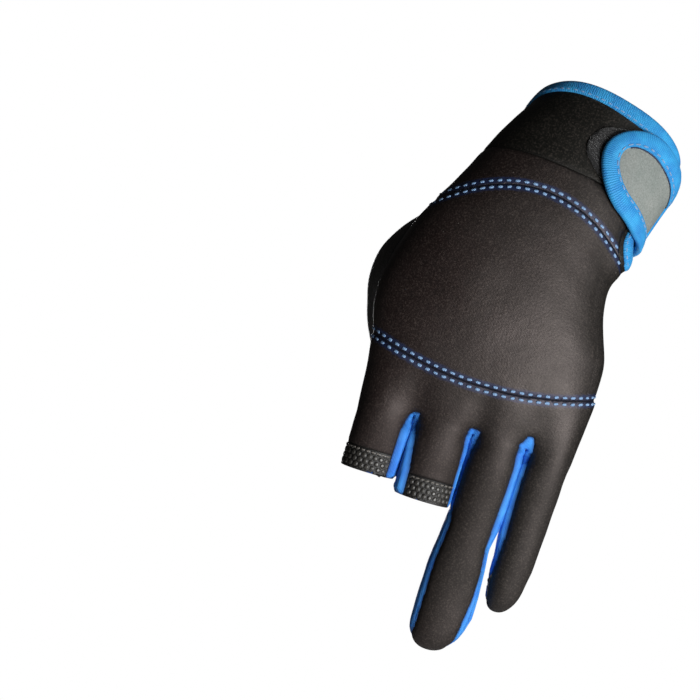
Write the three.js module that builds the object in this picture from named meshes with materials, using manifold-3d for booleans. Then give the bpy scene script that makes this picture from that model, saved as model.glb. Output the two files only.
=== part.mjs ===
// A left-hand fishing glove, held in the form that a relaxed hand gives it: fingers down, back of the
// hand to -Y, thumb to -X. The thumb, index and middle fingers are cut short, and the ring and little
// fingers are whole. Millimetres, +Z up. The origin is the centre of the wrist opening, where the hand
// goes in.
import * as THREE from "three";
import { mergeVertices } from "three/addons/utils/BufferGeometryUtils.js";
import Module from "manifold-3d";

const wasm = await Module();
wasm.setup();

// Driving dimensions of the cloth
const wall = 2.2;
const gap = 0.3;
const bindingThickness = 0.6;

// Driving dimensions of the hand part
const handLength = 131;
const palmDepth = 39;
const sideSeamShift = -2;

// Driving dimensions of the fingers
const fingerRowWidth = 90.4;
const fingerRootDepth = -17;
const ringLength = 93;
const webGap = 1.2;
const rootOverlap = 22;
const bandWidth = 9.5;
const gussetWidth = 11;
const gussetTipWidth = 5;
const gussetStop = 3.5;
const gussetRise = 8.8;

// Driving dimensions of the thumb
const thumbWidth = 27;
const thumbDepth = 25;
const thumbLength = 74;

// Driving dimensions of the cuff. Lean tilts a cut towards the thumb's side, pitch towards the palm, in
// degrees.
const openingWidth = 67.5;
const openingDepth = 53;
const rimLean = 15;
const rimPitch = 31;
const cuffHeight = 28.6;
const seamLean = 7;
const seamPitch = 14;
const bindingWidth = 6;
const slitHalfWidth = 3;
const slitDepth = 40;
const slitAngle = -14;
const slitBorder = 1.2;

// Driving dimensions of the strap and its fastening. Angles run round the cuff from the little finger's
// side, and are negative towards the back of the hand. Drops are measured from the opening down the cuff.
const strapWidth = 31.8;
const strapRootWidth = 26;
const strapThickness = 1.5;
const strapBindingWidth = 6;
const strapRootAngle = 26;
const strapTipAngle = -87.3;
const strapRootDrop = 22.4;
const strapTipDrop = 15;
const patchThickness = 0.5;
const patchWidth = 24;
const patchDrop = 15.2;
const patchStartAngle = -40;
const patchEndAngle = -96;
const hookWidth = 15;
const hookDrop = 17;
const hookStartAngle = -40;
const hookEndAngle = -64;

// Faceting, and how far cutting shapes run past what they cut
const handSides = 30;
const handSteps = 13;
const fingerSides = 16;
const fingerSteps = 6;
const thumbSteps = 7;
const strapSteps = 13;
const slitSteps = 12;
const padSteps = 8;
const handRoundness = 2.3;
const fingerRoundness = 2.15;
const far = 400;

// Each finger. width is a share of the row without its gaps, depth a share of the finger's width, and
// length a share of ringLength, measured from the web. drift moves the tip sideways and bend moves it
// towards the palm, both as shares of the finger's width. left and right bring the gusset on that side
// round to the back, as shares of its depth. The first cutShort fingers have flat ends.
const fingerTable = [
  { name: "index", width: 0.244, depth: 0.98, length: 0.312, drift: 0, bend: 0.14, left: 0, right: 0.05 },
  { name: "middle", width: 0.288, depth: 0.865, length: 0.36, drift: 0, bend: 0.03, left: 0.1, right: 0.06 },
  { name: "ring", width: 0.249, depth: 0.954, length: 1, drift: -0.15, bend: 0.37, left: 0.1, right: 0.15 },
  { name: "little", width: 0.219, depth: 0.96, length: 0.75, drift: -0.1, bend: 0.31, left: 0.05, right: 0 },
];
const cutShort = 2;
const rowStart = -0.732 * fingerRowWidth;
const fingerTaper = 0.1;
const tipRoundness = 0.62;
const tipSharpness = 0.8;

// Sections of the hand from above the wrist opening down to the webs. down is a share of handLength, side
// and width are shares of fingerRowWidth, back and depth are shares of palmDepth, and lean and pitch tilt
// the section.
const openingSize = { width: openingWidth / fingerRowWidth, depth: openingDepth / palmDepth };
const handSections = [
  { down: -0.12, side: 0.05, back: 0.14, ...openingSize, lean: 15, pitch: 20 },
  { down: 0, side: 0, back: 0, ...openingSize, lean: 15, pitch: 20 },
  { down: 0.15, side: -0.099, back: -0.19, width: 0.78, depth: 1.22, lean: 16, pitch: 19 },
  { down: 0.32, side: -0.198, back: -0.345, width: 0.82, depth: 1.14, lean: 15, pitch: 13 },
  { down: 0.49, side: -0.262, back: -0.43, width: 0.96, depth: 1.07, lean: 9, pitch: 5 },
  { down: 0.67, side: -0.264, back: -0.452, width: 1.085, depth: 1, lean: 3, pitch: 0 },
  { down: 0.825, side: -0.238, back: -0.43, width: 1.035, depth: 0.9, lean: 0, pitch: -2 },
  { down: 0.925, side: -0.236, back: -0.405, width: 0.989, depth: 0.76, lean: 0, pitch: -3 },
  { down: 1, side: -0.234, back: -0.39, width: 0.96, depth: 0.56, lean: 0, pitch: -3 },
];
const openingRow = 1;
const rowStep = 1 / (handSections.length - 1);

// The thumb folds across the palm. down, side and back are shares of thumbLength from the thumb's root,
// and width and depth are shares of its width and depth.
const thumbRoot = new THREE.Vector3(-0.45 * fingerRowWidth, -0.3 * palmDepth, -0.38 * handLength);
const thumbSections = [
  { down: 0, side: 0, back: 0, width: 1.12, depth: 1.12 },
  { down: 0.3, side: -0.27, back: 0.14, width: 1.14, depth: 1.16 },
  { down: 0.55, side: -0.28, back: 0.3, width: 1, depth: 1.04 },
  { down: 0.78, side: -0.19, back: 0.42, width: 0.93, depth: 0.96 },
  { down: 1, side: -0.07, back: 0.5, width: 0.9, depth: 0.92 },
];

// Curves in the front view that part the back of the glove into panels: start, middle and end, x as a
// share of fingerRowWidth and z as a share of handLength.
const wristSeam = { start: [-0.68, -0.35], middle: [-0.21, -0.237], end: [0.26, -0.4] };
const knuckleSeam = { start: [-0.8, -0.79], middle: [-0.24, -0.865], end: [0.33, -0.79] };

// Solids and geometry
function toSolid(geometry) {
  const bare = geometry.clone();
  for (const name of Object.keys(bare.attributes)) {
    if (name !== "position") bare.deleteAttribute(name);
  }
  const merged = mergeVertices(bare, 1e-4);
  return new wasm.Manifold(
    new wasm.Mesh({
      numProp: 3,
      vertProperties: Float32Array.from(merged.attributes.position.array),
      triVerts: Uint32Array.from(merged.index.array),
    }),
  );
}

function toGeometry(solid) {
  const mesh = solid.getMesh();
  const geometry = new THREE.BufferGeometry();
  const positions = new Float32Array(mesh.numVert * 3);
  for (let i = 0; i < mesh.numVert; i++) {
    positions.set(mesh.vertProperties.subarray(i * mesh.numProp, i * mesh.numProp + 3), i * 3);
  }
  geometry.setAttribute("position", new THREE.BufferAttribute(positions, 3));
  geometry.setIndex(new THREE.BufferAttribute(Uint32Array.from(mesh.triVerts), 1));
  geometry.computeVertexNormals();
  return geometry;
}

const join = (...solids) => solids.reduce((all, solid) => all.add(solid));

// A closed solid through rings of points, with a flat cap on the first and the last ring. Its faces are
// turned outwards, whichever way the rings run.
function loft(rings) {
  const count = rings[0].length;
  const points = rings.flat();
  const centreOf = (ring) => ring.reduce((sum, p) => sum.add(p), new THREE.Vector3()).divideScalar(count);
  const first = points.push(centreOf(rings[0])) - 1;
  const last = points.push(centreOf(rings[rings.length - 1])) - 1;
  const lastRing = (rings.length - 1) * count;
  const faces = [];
  for (let j = 0; j < count; j++) {
    const next = (j + 1) % count;
    for (let i = 0; i < lastRing; i += count) {
      faces.push([i + j, i + count + next, i + next], [i + j, i + count + j, i + count + next]);
    }
    faces.push([first, j, next], [last, lastRing + next, lastRing + j]);
  }
  const geometry = new THREE.BufferGeometry();
  const positions = points.flatMap((p) => p.toArray());
  geometry.setAttribute("position", new THREE.Float32BufferAttribute(positions, 3));
  geometry.setIndex(faces.flat());
  const solid = toSolid(geometry);
  if (solid.volume() > 0) return solid;
  geometry.setIndex(faces.flatMap(([a, b, c]) => [a, c, b]));
  return toSolid(geometry);
}

// Every column of a table as a smooth course, from 0 at the first row to 1 at the last.
function smoothRows(rows) {
  const names = Object.keys(rows[0]);
  const curves = names.map(
    (name) =>
      new THREE.CatmullRomCurve3(
        rows.map((row) => new THREE.Vector3(row[name])),
        false,
        "catmullrom",
      ),
  );
  return (share) => Object.fromEntries(names.map((name, i) => [name, curves[i].getPoint(share).x]));
}

// The directions of a tilted section: across points to the little finger, out to the back of the hand.
function tilt(lean, pitch) {
  const [l, p] = [THREE.MathUtils.degToRad(lean), THREE.MathUtils.degToRad(pitch)];
  const across = new THREE.Vector3(Math.cos(l), 0, -Math.sin(l));
  const level = new THREE.Vector3(0, -Math.cos(p), Math.sin(p));
  const up = new THREE.Vector3().crossVectors(level, across).normalize();
  return { across, up, out: new THREE.Vector3().crossVectors(across, up).normalize() };
}

// One point of a section: angle 0 is the little finger's side, and a negative angle turns to the back of
// the hand.
function sectionPoint(station, angle, roundness) {
  const bulge = (value) => Math.sign(value) * Math.abs(value) ** (2 / roundness);
  return station.centre
    .clone()
    .addScaledVector(station.across, bulge(Math.cos(angle)) * station.halfWidth)
    .addScaledVector(station.out, bulge(-Math.sin(angle)) * station.halfDepth);
}

function tube(stations, sides, roundness) {
  const angles = Array.from({ length: sides }, (_, j) => (j / sides) * 2 * Math.PI);
  return loft(stations.map((station) => angles.map((angle) => sectionPoint(station, angle, roundness))));
}

const grown = (station, offset) => ({
  ...station,
  halfWidth: station.halfWidth + offset,
  halfDepth: station.halfDepth + offset,
});

// The hand's tube
const handCourse = smoothRows(handSections);

function handStation(share) {
  const row = handCourse(share);
  return {
    centre: new THREE.Vector3(row.side * fingerRowWidth, row.back * palmDepth, -row.down * handLength),
    halfWidth: (row.width * fingerRowWidth) / 2,
    halfDepth: (row.depth * palmDepth) / 2,
    ...tilt(row.lean, row.pitch),
  };
}

const rowCentre = (row) => handStation(row * rowStep).centre;

function handTube(offset) {
  const shares = Array.from({ length: handSteps + 1 }, (_, i) => i / handSteps);
  const stations = shares.map((share) => grown(handStation(share), offset));
  stations[handSteps].centre.z -= offset;
  return tube(stations, handSides, handRoundness);
}

// The fingers hang side by side from the webs. A level is measured down from the web, and is negative
// above it.
let fingerEdge = rowStart;
const fingers = fingerTable.map((row, i) => {
  const width = row.width * (fingerRowWidth - webGap * (fingerTable.length - 1));
  const depth = row.depth * width;
  const finger = {
    ...row,
    hasFlatEnd: i < cutShort,
    width,
    depth,
    length: row.length * ringLength,
    x: fingerEdge + width / 2,
    edges: { left: fingerEdge - webGap / 2, right: fingerEdge + width + webGap / 2 },
    drift: row.drift * width,
    bend: row.bend * width,
    left: row.left * depth,
    right: row.right * depth,
  };
  fingerEdge += width + webGap;
  return finger;
});

function fingerCentre(finger, level) {
  const share = Math.max(level + rootOverlap, 0) / (finger.length + rootOverlap);
  return new THREE.Vector3(
    finger.x + finger.drift * share * share,
    fingerRootDepth + finger.bend * share * share,
    -handLength - level,
  );
}

function fingerCourse(finger, from, to) {
  const shares = Array.from({ length: fingerSteps + 1 }, (_, i) => i / fingerSteps);
  return shares.map((share) => fingerCentre(finger, from + share * (to - from)));
}

function fingerStation(finger, level, offset, scale) {
  return {
    centre: fingerCentre(finger, level),
    halfWidth: (finger.width / 2 + offset) * scale,
    halfDepth: (finger.depth / 2 + offset) * scale,
    ...tilt(0, 0),
  };
}

const narrowing = (finger, level) =>
  finger.hasFlatEnd ? 1 : 1 - (fingerTaper * Math.max(level, 0)) / finger.length;

function fingerStretch(finger, from, to, steps, offset) {
  return Array.from({ length: steps + 1 }, (_, i) => {
    const level = from + (i / steps) * (to - from);
    return fingerStation(finger, level, offset, narrowing(finger, level));
  });
}

// A cut finger's tube ends flat, and a whole one's closes in a rounded tip.
function fingerTube(finger, offset) {
  if (finger.hasFlatEnd) {
    const stretch = fingerStretch(finger, -rootOverlap, finger.length - offset, 3, offset);
    return tube(stretch, fingerSides, fingerRoundness);
  }
  const tipLength = finger.width * tipRoundness;
  const tipStart = finger.length - tipLength;
  const stations = fingerStretch(finger, -rootOverlap, tipStart, 4, offset);
  for (const degrees of [26, 48, 66, 82]) {
    const turn = THREE.MathUtils.degToRad(degrees);
    const level = tipStart + (tipLength + offset) * Math.sin(turn);
    const scale = narrowing(finger, tipStart) * Math.cos(turn) ** tipSharpness;
    stations.push(fingerStation(finger, level, offset, scale));
  }
  return tube(stations, fingerSides, fingerRoundness);
}

// The last stretch of a cut finger, from a level to beyond its end.
function fingerEnd(finger, level) {
  const stretch = fingerStretch(finger, level, finger.length + wall, 1, gap);
  return tube(stretch, fingerSides, fingerRoundness);
}

// The thumb's tube
const thumbCourse = smoothRows(thumbSections);

function thumbStation(share) {
  const row = thumbCourse(share);
  const place = ({ side, back, down }) => new THREE.Vector3(side, back, -down).multiplyScalar(thumbLength);
  const centre = place(row).add(thumbRoot);
  const before = thumbCourse(Math.max(share - 0.01, 0));
  const after = thumbCourse(Math.min(share + 0.01, 1));
  const up = place(before).sub(place(after)).normalize();
  const across = new THREE.Vector3(1, 0, 0).addScaledVector(up, -up.x).normalize();
  return {
    centre,
    halfWidth: (row.width * thumbWidth) / 2,
    halfDepth: (row.depth * thumbDepth) / 2,
    across,
    up,
    out: new THREE.Vector3().crossVectors(across, up).normalize(),
  };
}

const thumbTube = (offset) =>
  tube(
    Array.from({ length: thumbSteps + 1 }, (_, i) => grown(thumbStation(i / thumbSteps), offset)),
    fingerSides,
    fingerRoundness,
  );

// Cutting shapes: everything on the upper side of a section, at a height above it
function above(station, height) {
  const box = new THREE.BoxGeometry(far, far, far).translate(0, 0, far / 2 + height);
  const turn = new THREE.Matrix4().makeBasis(station.across, station.out.clone().negate(), station.up);
  return toSolid(box.applyMatrix4(turn.setPosition(station.centre)));
}

// An outline in the side view, points as [y, z], carried between two values of x.
function sideExtrusion(outline, low, high) {
  const shape = new THREE.Shape(outline.map(([y, z]) => new THREE.Vector2(y, z)));
  const body = new THREE.ExtrudeGeometry(shape, { depth: high - low, bevelEnabled: false });
  const turn = new THREE.Matrix4().makeBasis(
    new THREE.Vector3(0, 1, 0),
    new THREE.Vector3(0, 0, 1),
    new THREE.Vector3(1, 0, 0),
  );
  return toSolid(body.applyMatrix4(turn).translate(low, 0, 0));
}

// Everything below a curved seam of the front view.
function belowSeam(seam, shift) {
  const [start, middle, end] = [seam.start, seam.middle, seam.end].map(
    ([x, z]) => new THREE.Vector2(x * fingerRowWidth, z * handLength + shift),
  );
  const control = middle.clone().multiplyScalar(2).sub(start.clone().add(end).multiplyScalar(0.5));
  const shape = new THREE.Shape();
  shape.moveTo(-far, start.y);
  shape.lineTo(start.x, start.y);
  shape.quadraticCurveTo(control.x, control.y, end.x, end.y);
  shape.lineTo(far, end.y);
  shape.lineTo(far, -far);
  shape.lineTo(-far, -far);
  const body = new THREE.ExtrudeGeometry(shape, { depth: 2 * far, bevelEnabled: false, curveSegments: 16 });
  return toSolid(body.translate(0, 0, -far).rotateX(Math.PI / 2));
}

// The back half of the glove: the side seam follows the middle of the hand and of each finger.
function backHalf(shift) {
  const seamPoint = (p) => [p.y + sideSeamShift + shift, p.z];
  const outline = handSections.map((_, row) => seamPoint(rowCentre(row)));
  const handCorners = [[-far, far], [outline[0][0], far], ...outline, [-far, -handLength]];
  const hand = sideExtrusion(handCorners, -far, far);
  return fingers.reduce((all, finger) => {
    const course = fingerCourse(finger, -wall, finger.length + wall).map(seamPoint);
    const low = finger === fingers[0] ? -far : finger.edges.left;
    const high = finger === fingers[fingers.length - 1] ? far : finger.edges.right;
    const corners = [[-far, course[0][1]], ...course, [-far, course[course.length - 1][1]]];
    return all.add(sideExtrusion(corners, low, high));
  }, hand);
}

// A gusset's strip on one side of a finger, as wide as gussetWidth at the web and narrower at a whole
// finger's tip.
function gussetStrip(finger, turn, low, high, grow) {
  const end = finger.hasFlatEnd ? finger.length + wall : finger.length - gussetStop + grow;
  const course = fingerCourse(finger, -gussetRise, end);
  const edge = (side) =>
    course.map((p, i) => {
      const narrow = finger.hasFlatEnd ? 0 : (i / fingerSteps) * (gussetWidth - gussetTipWidth);
      return [p.y - turn + side * ((gussetWidth - narrow) / 2 + grow), p.z];
    });
  return sideExtrusion([...edge(-1), ...edge(1).reverse()], low, high);
}

function gussetZone(left, right, grow) {
  const meet = left.edges.right;
  return join(
    gussetStrip(left, left.right, fingerCentre(left, left.length).x, meet + webGap / 2, grow),
    gussetStrip(right, right.left, meet - webGap / 2, fingerCentre(right, right.length).x, grow),
  );
}

// A patch that follows the hand's surface between two offsets from it. at(u, v) gives a share of the
// hand's sections and an angle, with u from 0 to 1 along the patch and v from -1 to 1 across it.
function sheet(at, steps, low, high) {
  const row = [-1, -1 / 3, 1 / 3, 1];
  const point = (u, v, offset) => {
    const { share, angle } = at(u, v);
    const station = grown(handStation(share), offset);
    return sectionPoint(station, THREE.MathUtils.degToRad(angle), handRoundness);
  };
  const rings = Array.from({ length: steps + 1 }, (_, i) => [
    ...row.map((v) => point(i / steps, v, low)),
    ...row.toReversed().map((v) => point(i / steps, v, high)),
  ]);
  return loft(rings);
}

// The share of the hand's sections at a distance down the cuff from the opening.
const cuffRowLength = rowCentre(openingRow).distanceTo(rowCentre(openingRow + 1));
const cuffShare = (drop) => rowStep * (openingRow + drop / cuffRowLength);

// The width of a tongue with a round end, as a share: full until one radius from the end.
const tongue = (along, length, radius) => {
  const past = Math.max(along - (length - radius), 0) / radius;
  return Math.sqrt(Math.max(1 - past * past, 0.01));
};

// The length of cuff round which an angle in degrees turns, on its flatter and on its tighter side.
const flatRadius = 0.43 * openingWidth;
const flatArc = (degrees) => THREE.MathUtils.degToRad(degrees) * flatRadius;
const sideDegrees = (length) => THREE.MathUtils.radToDeg((2 * length) / openingDepth);

// The strap wraps from beyond the little finger's side on to the back of the cuff.
const strapLength = flatArc(strapRootAngle - strapTipAngle);

function strapSheet(inset, start, low, high) {
  const reach = strapLength - inset;
  const halfTip = strapWidth / 2 - inset;
  const halfRoot = strapRootWidth / 2 - inset;
  return sheet(
    (u, v) => {
      const along = start + (1 - (1 - u) ** 1.5) * (reach - start);
      const share = along / strapLength;
      const full = halfRoot + (halfTip - halfRoot) * Math.min(2 * share, 1);
      const half = full * tongue(along, reach, halfTip);
      return {
        share: cuffShare(strapRootDrop + (strapTipDrop - strapRootDrop) * share + v * half),
        angle: strapRootAngle + (strapTipAngle - strapRootAngle) * share,
      };
    },
    strapSteps,
    low,
    high,
  );
}

// The slit at the little finger's side, from above the opening down to its round end
function slit(grow) {
  const half = slitHalfWidth + grow;
  const top = -slitDepth / 2;
  const bottom = slitDepth + grow;
  return sheet(
    (u, v) => {
      const drop = top + u * (bottom - top);
      return {
        share: cuffShare(drop),
        angle: slitAngle + sideDegrees(v * half * tongue(drop - top, bottom - top, half)),
      };
    },
    slitSteps,
    -3 * wall,
    3 * wall,
  );
}

// A pad with a round end, for the hook and loop fastening
function pad(startAngle, endAngle, width, drop, low, high) {
  const length = flatArc(startAngle - endAngle);
  return sheet(
    (u, v) => ({
      share: cuffShare(drop + (v * width * tongue(u * length, length, width / 2)) / 2),
      angle: startAngle + (endAngle - startAngle) * u,
    }),
    padSteps,
    low,
    high,
  );
}

// The skin of hand and fingers, one wall thick, with the thumb's hole
const outer = join(handTube(0), ...fingers.map((finger) => fingerTube(finger, 0)));
const inner = join(handTube(-wall), ...fingers.map((finger) => fingerTube(finger, -wall)));
const thumbHole = thumbTube(-wall);
const skin = outer.subtract(inner).subtract(thumbHole);

// Zones that part the skin
const opening = { centre: new THREE.Vector3(), ...tilt(rimLean, rimPitch) };
const seamStation = { centre: handStation(cuffShare(cuffHeight)).centre, ...tilt(seamLean, seamPitch) };
const cuffZone = (grow) => join(above(seamStation, -grow), slit(bindingWidth + slitBorder + grow));
const pairs = fingers.slice(1).map((finger, i) => [fingers[i], finger]);
const cutFingers = fingers.filter((finger) => finger.hasFlatEnd);
const gussetsGrown = join(...pairs.map(([left, right]) => gussetZone(left, right, gap / 2)));
const endOf = (grow) => (finger) => fingerEnd(finger, finger.length - bandWidth - grow);
const bandsGrown = join(...cutFingers.map(endOf(gap / 2)));

// Panels of the back and the palm, and the gussets between the fingers
const handSkin = skin.subtract(cuffZone(gap / 2));
const panels = handSkin.subtract(gussetsGrown);
const plainPanels = panels.subtract(bandsGrown);
const back = plainPanels.intersect(backHalf(-gap / 2));
const palm = plainPanels.subtract(backHalf(gap / 2));
const backWrist = back.subtract(belowSeam(wristSeam, gap / 2));
const backMiddle = back.intersect(belowSeam(wristSeam, -gap / 2));
const backHand = backMiddle.subtract(belowSeam(knuckleSeam, gap / 2));
const backFingers = back.intersect(belowSeam(knuckleSeam, -gap / 2));
const gussets = pairs.map(([left, right]) => handSkin.intersect(gussetZone(left, right, -gap / 2)));

// Bands at the cut ends: the index finger's wraps its open side, the middle finger's has a back and a
// palm part
const [indexBand, middleBand] = cutFingers.map(endOf(-gap / 2)).map((end) => panels.intersect(end));
const middleBandBack = middleBand.intersect(backHalf(0));
const middleBandPalm = middleBand.subtract(backHalf(0));

// The thumb stands on the hand's skin, with a band at its cut end
const thumbEnd = thumbStation(1);
const thumbSkin = thumbTube(0).subtract(thumbHole).subtract(handTube(gap));
const thumb = thumbSkin.intersect(above(thumbEnd, bandWidth + gap / 2));
const thumbBand = thumbSkin.subtract(above(thumbEnd, bandWidth - gap / 2)).intersect(above(thumbEnd, gap));

// The cuff, and the binding that folds over its edge and round the slit
const cuffShell = (grow) =>
  handTube(grow).subtract(handTube(-wall - grow)).subtract(above(opening, grow)).subtract(slit(-grow));
const cuff = cuffShell(0).intersect(cuffZone(-gap / 2));
const foldOver = bindingThickness + gap;
const cuffBinding = cuffShell(foldOver)
  .subtract(cuffShell(gap))
  .intersect(join(above(opening, -bindingWidth), slit(bindingWidth)));

// The strap, its binding, and the pads under its tip
const strapUnder = 2 * foldOver + gap;
const strapTop = strapUnder + strapThickness;
const strap = strapSheet(0, 0, strapUnder, strapTop);
const strapBinding = strapSheet(-foldOver, 0, strapUnder - foldOver, strapTop + foldOver)
  .subtract(strapSheet(-gap, -wall, strapUnder - gap, strapTop + gap))
  .subtract(strapSheet(strapBindingWidth, -wall, 0, strapTop + 2 * foldOver));
const patchTop = gap + patchThickness;
const loopPatch = pad(patchStartAngle, patchEndAngle, patchWidth, patchDrop, gap, patchTop);
const hookPad = pad(hookStartAngle, hookEndAngle, hookWidth, hookDrop, patchTop + gap, strapUnder - gap);

// Materials and the named pieces
const cloth = (color, roughness) => new THREE.MeshStandardMaterial({ color, roughness, metalness: 0 });
const backNeoprene = cloth(0x1d1919, 0.85);
const cuffNeoprene = cloth(0x171515, 0.9);
const strapFace = cloth(0x5a5c58, 0.55);
const gripLeather = cloth(0x1b1917, 0.5);
const gussetCloth = cloth(0x1f6fe0, 0.7);
const bindingTape = cloth(0x1c8ae8, 0.65);
const loopPile = cloth(0x121212, 0.95);

const pieces = [
  ["cuff", cuff, cuffNeoprene],
  ["back_wrist", backWrist, backNeoprene],
  ["back_hand", backHand, backNeoprene],
  ["back_fingers", backFingers, backNeoprene],
  ["palm", palm, gripLeather],
  ...pairs.map(([left, right], i) => [`gusset_${left.name}_${right.name}`, gussets[i], gussetCloth]),
  ["thumb", thumb, gripLeather],
  ["index_band", indexBand, gripLeather],
  ["middle_band_back", middleBandBack, gripLeather],
  ["middle_band_palm", middleBandPalm, gripLeather],
  ["thumb_band", thumbBand, gripLeather],
  ["cuff_binding", cuffBinding, bindingTape],
  ["strap", strap, strapFace],
  ["strap_binding", strapBinding, bindingTape],
  ["loop_patch", loopPatch, loopPile],
  ["hook_pad", hookPad, loopPile],
];

const glove = new THREE.Group();
for (const [name, solid, material] of pieces) {
  const mesh = new THREE.Mesh(toGeometry(solid), material);
  mesh.name = name;
  glove.add(mesh);
}

export default glove;
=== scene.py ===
import math

import bpy
import numpy as np
from mathutils import Matrix, Vector
from mathutils.kdtree import KDTree


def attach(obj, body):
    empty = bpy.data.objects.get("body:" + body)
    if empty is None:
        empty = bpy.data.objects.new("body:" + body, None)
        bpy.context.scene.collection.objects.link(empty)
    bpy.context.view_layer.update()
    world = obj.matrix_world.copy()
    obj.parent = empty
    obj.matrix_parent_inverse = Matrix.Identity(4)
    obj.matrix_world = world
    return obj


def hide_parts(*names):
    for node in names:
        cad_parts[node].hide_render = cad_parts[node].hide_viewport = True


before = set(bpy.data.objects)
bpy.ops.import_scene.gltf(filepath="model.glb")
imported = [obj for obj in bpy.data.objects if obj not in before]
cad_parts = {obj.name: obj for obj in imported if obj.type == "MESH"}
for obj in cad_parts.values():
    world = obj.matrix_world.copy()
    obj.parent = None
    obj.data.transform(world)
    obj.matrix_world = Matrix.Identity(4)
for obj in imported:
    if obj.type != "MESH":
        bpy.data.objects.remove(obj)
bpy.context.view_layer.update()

random = np.random.default_rng(7)

# The frame's sizes
WALL = 2.2
HAND_LENGTH = 131
PALM_DEPTH = 39
ROW_WIDTH = 90.4
ROW_START = -0.732 * ROW_WIDTH
ROOT_DEPTH = -17
RING_LENGTH = 93
WEB_GAP = 1.2
ROOT_OVERLAP = 22
BAND_WIDTH = 9.5
GUSSET_WIDTH = 11
GUSSET_TIP_WIDTH = 5
GUSSET_STOP = 3.5
GUSSET_RISE = 8.8
THUMB_WIDTH = 27
THUMB_DEPTH = 25
THUMB_LENGTH = 74
OPENING_WIDTH = 67.5
OPENING_DEPTH = 53
RIM_LEAN, RIM_PITCH = 15, 31
CUFF_HEIGHT = 28.6
SEAM_LEAN, SEAM_PITCH = 7, 14
BINDING_WIDTH = 6
SLIT_HALF_WIDTH = 3
SLIT_DEPTH = 40
SLIT_ANGLE = -14
SLIT_BORDER = 1.2
STRAP_WIDTH = 31.8
STRAP_ROOT_WIDTH = 26
STRAP_THICKNESS = 1.5
STRAP_BINDING = 6
STRAP_ROOT_ANGLE, STRAP_TIP_ANGLE = 26, -87.3
STRAP_ROOT_DROP, STRAP_TIP_DROP = 22.4, 15
PATCH_WIDTH, PATCH_DROP, PATCH_ANGLES = 24, 15.2, (-40, -96)
HOOK_WIDTH, HOOK_DROP, HOOK_ANGLES = 15, 17, (-40, -64)
HAND_POWER = 2.3
FINGER_POWER = 2.15
FINGER_TAPER = 0.1
TIP_LENGTH = 0.62

# Each finger: width as a share of the row, depth of its width, length of RING_LENGTH, and the sideways drift
# and the bend towards the palm of its tip as shares of its width. left and right bring its gussets round to
# the back.
FINGERS = [
    {"width": 0.244, "depth": 0.98, "length": 0.312, "drift": 0, "bend": 0.14, "left": 0, "right": 0.05},
    {"width": 0.288, "depth": 0.865, "length": 0.36, "drift": 0, "bend": 0.03, "left": 0.1, "right": 0.06},
    {"width": 0.249, "depth": 0.954, "length": 1, "drift": -0.15, "bend": 0.37, "left": 0.1, "right": 0.15},
    {"width": 0.219, "depth": 0.96, "length": 0.75, "drift": -0.1, "bend": 0.31, "left": 0.05, "right": 0},
]
CUT_SHORT = 2

# Sections of the hand: down in shares of HAND_LENGTH, side of ROW_WIDTH and back of PALM_DEPTH, then width
# of ROW_WIDTH and depth of PALM_DEPTH, and lean and pitch in degrees.
OPENING = (OPENING_WIDTH / ROW_WIDTH, OPENING_DEPTH / PALM_DEPTH)
HAND_SECTIONS = [
    (-0.12, 0.05, 0.14, *OPENING, 15, 20),
    (0, 0, 0, *OPENING, 15, 20),
    (0.15, -0.099, -0.19, 0.78, 1.22, 16, 19),
    (0.32, -0.198, -0.345, 0.82, 1.14, 15, 13),
    (0.49, -0.262, -0.43, 0.96, 1.07, 9, 5),
    (0.67, -0.264, -0.452, 1.085, 1, 3, 0),
    (0.825, -0.238, -0.43, 1.035, 0.9, 0, -2),
    (0.925, -0.236, -0.405, 0.989, 0.76, 0, -3),
    (1, -0.234, -0.39, 0.96, 0.56, 0, -3),
]
# Sections of the thumb: down, side and back in shares of THUMB_LENGTH, then shares of its width and depth.
THUMB_ROOT = (-0.45 * ROW_WIDTH, -0.3 * PALM_DEPTH, -0.38 * HAND_LENGTH)
THUMB_SECTIONS = [
    (0, 0, 0, 1.12, 1.12),
    (0.3, -0.27, 0.14, 1.14, 1.16),
    (0.55, -0.28, 0.3, 1, 1.04),
    (0.78, -0.19, 0.42, 0.93, 0.96),
    (1, -0.07, 0.5, 0.9, 0.92),
]
# Seams of the back as curves in the front view: start, middle and end, x in shares of ROW_WIDTH and z of
# HAND_LENGTH.
WRIST_SEAM = [(-0.68, -0.35), (-0.21, -0.237), (0.26, -0.4)]
KNUCKLE_SEAM = [(-0.8, -0.79), (-0.24, -0.865), (0.33, -0.79)]

# How fine the skin's mesh is, and how softly its tubes run into one another
STEP = 0.85
SKIN_BOX = np.array([(-82.0, -44, -230), (38, 42, 26)])
WEB_BLEND = 6
WEB_RISE = 1.5
THUMB_BLEND = 4
PAST_END = 4

# Soft shapes beyond the frame's: unevenness of worn cloth, the binding's width from the thumb's side on,
# valleys above the webs, the end of the slit standing off the wrist, and how far the side seam lies to the
# palm along the hand and to the back along the little finger
FOLD_BROAD, FOLD_NARROW = 0.22, 0.1
BINDING_SHOWS = ([-30, 10], [4, 5.3])
VALLEY_DEPTH, VALLEY_WIDTH = 1.3, 5
FLARE, FLARE_REACH = 6.5, 8
FLARE_DROP, FLARE_ANGLE = 43, -12
HAND_SEAM_SHIFT, LITTLE_SEAM_SHIFT = 1.5, -2

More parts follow.
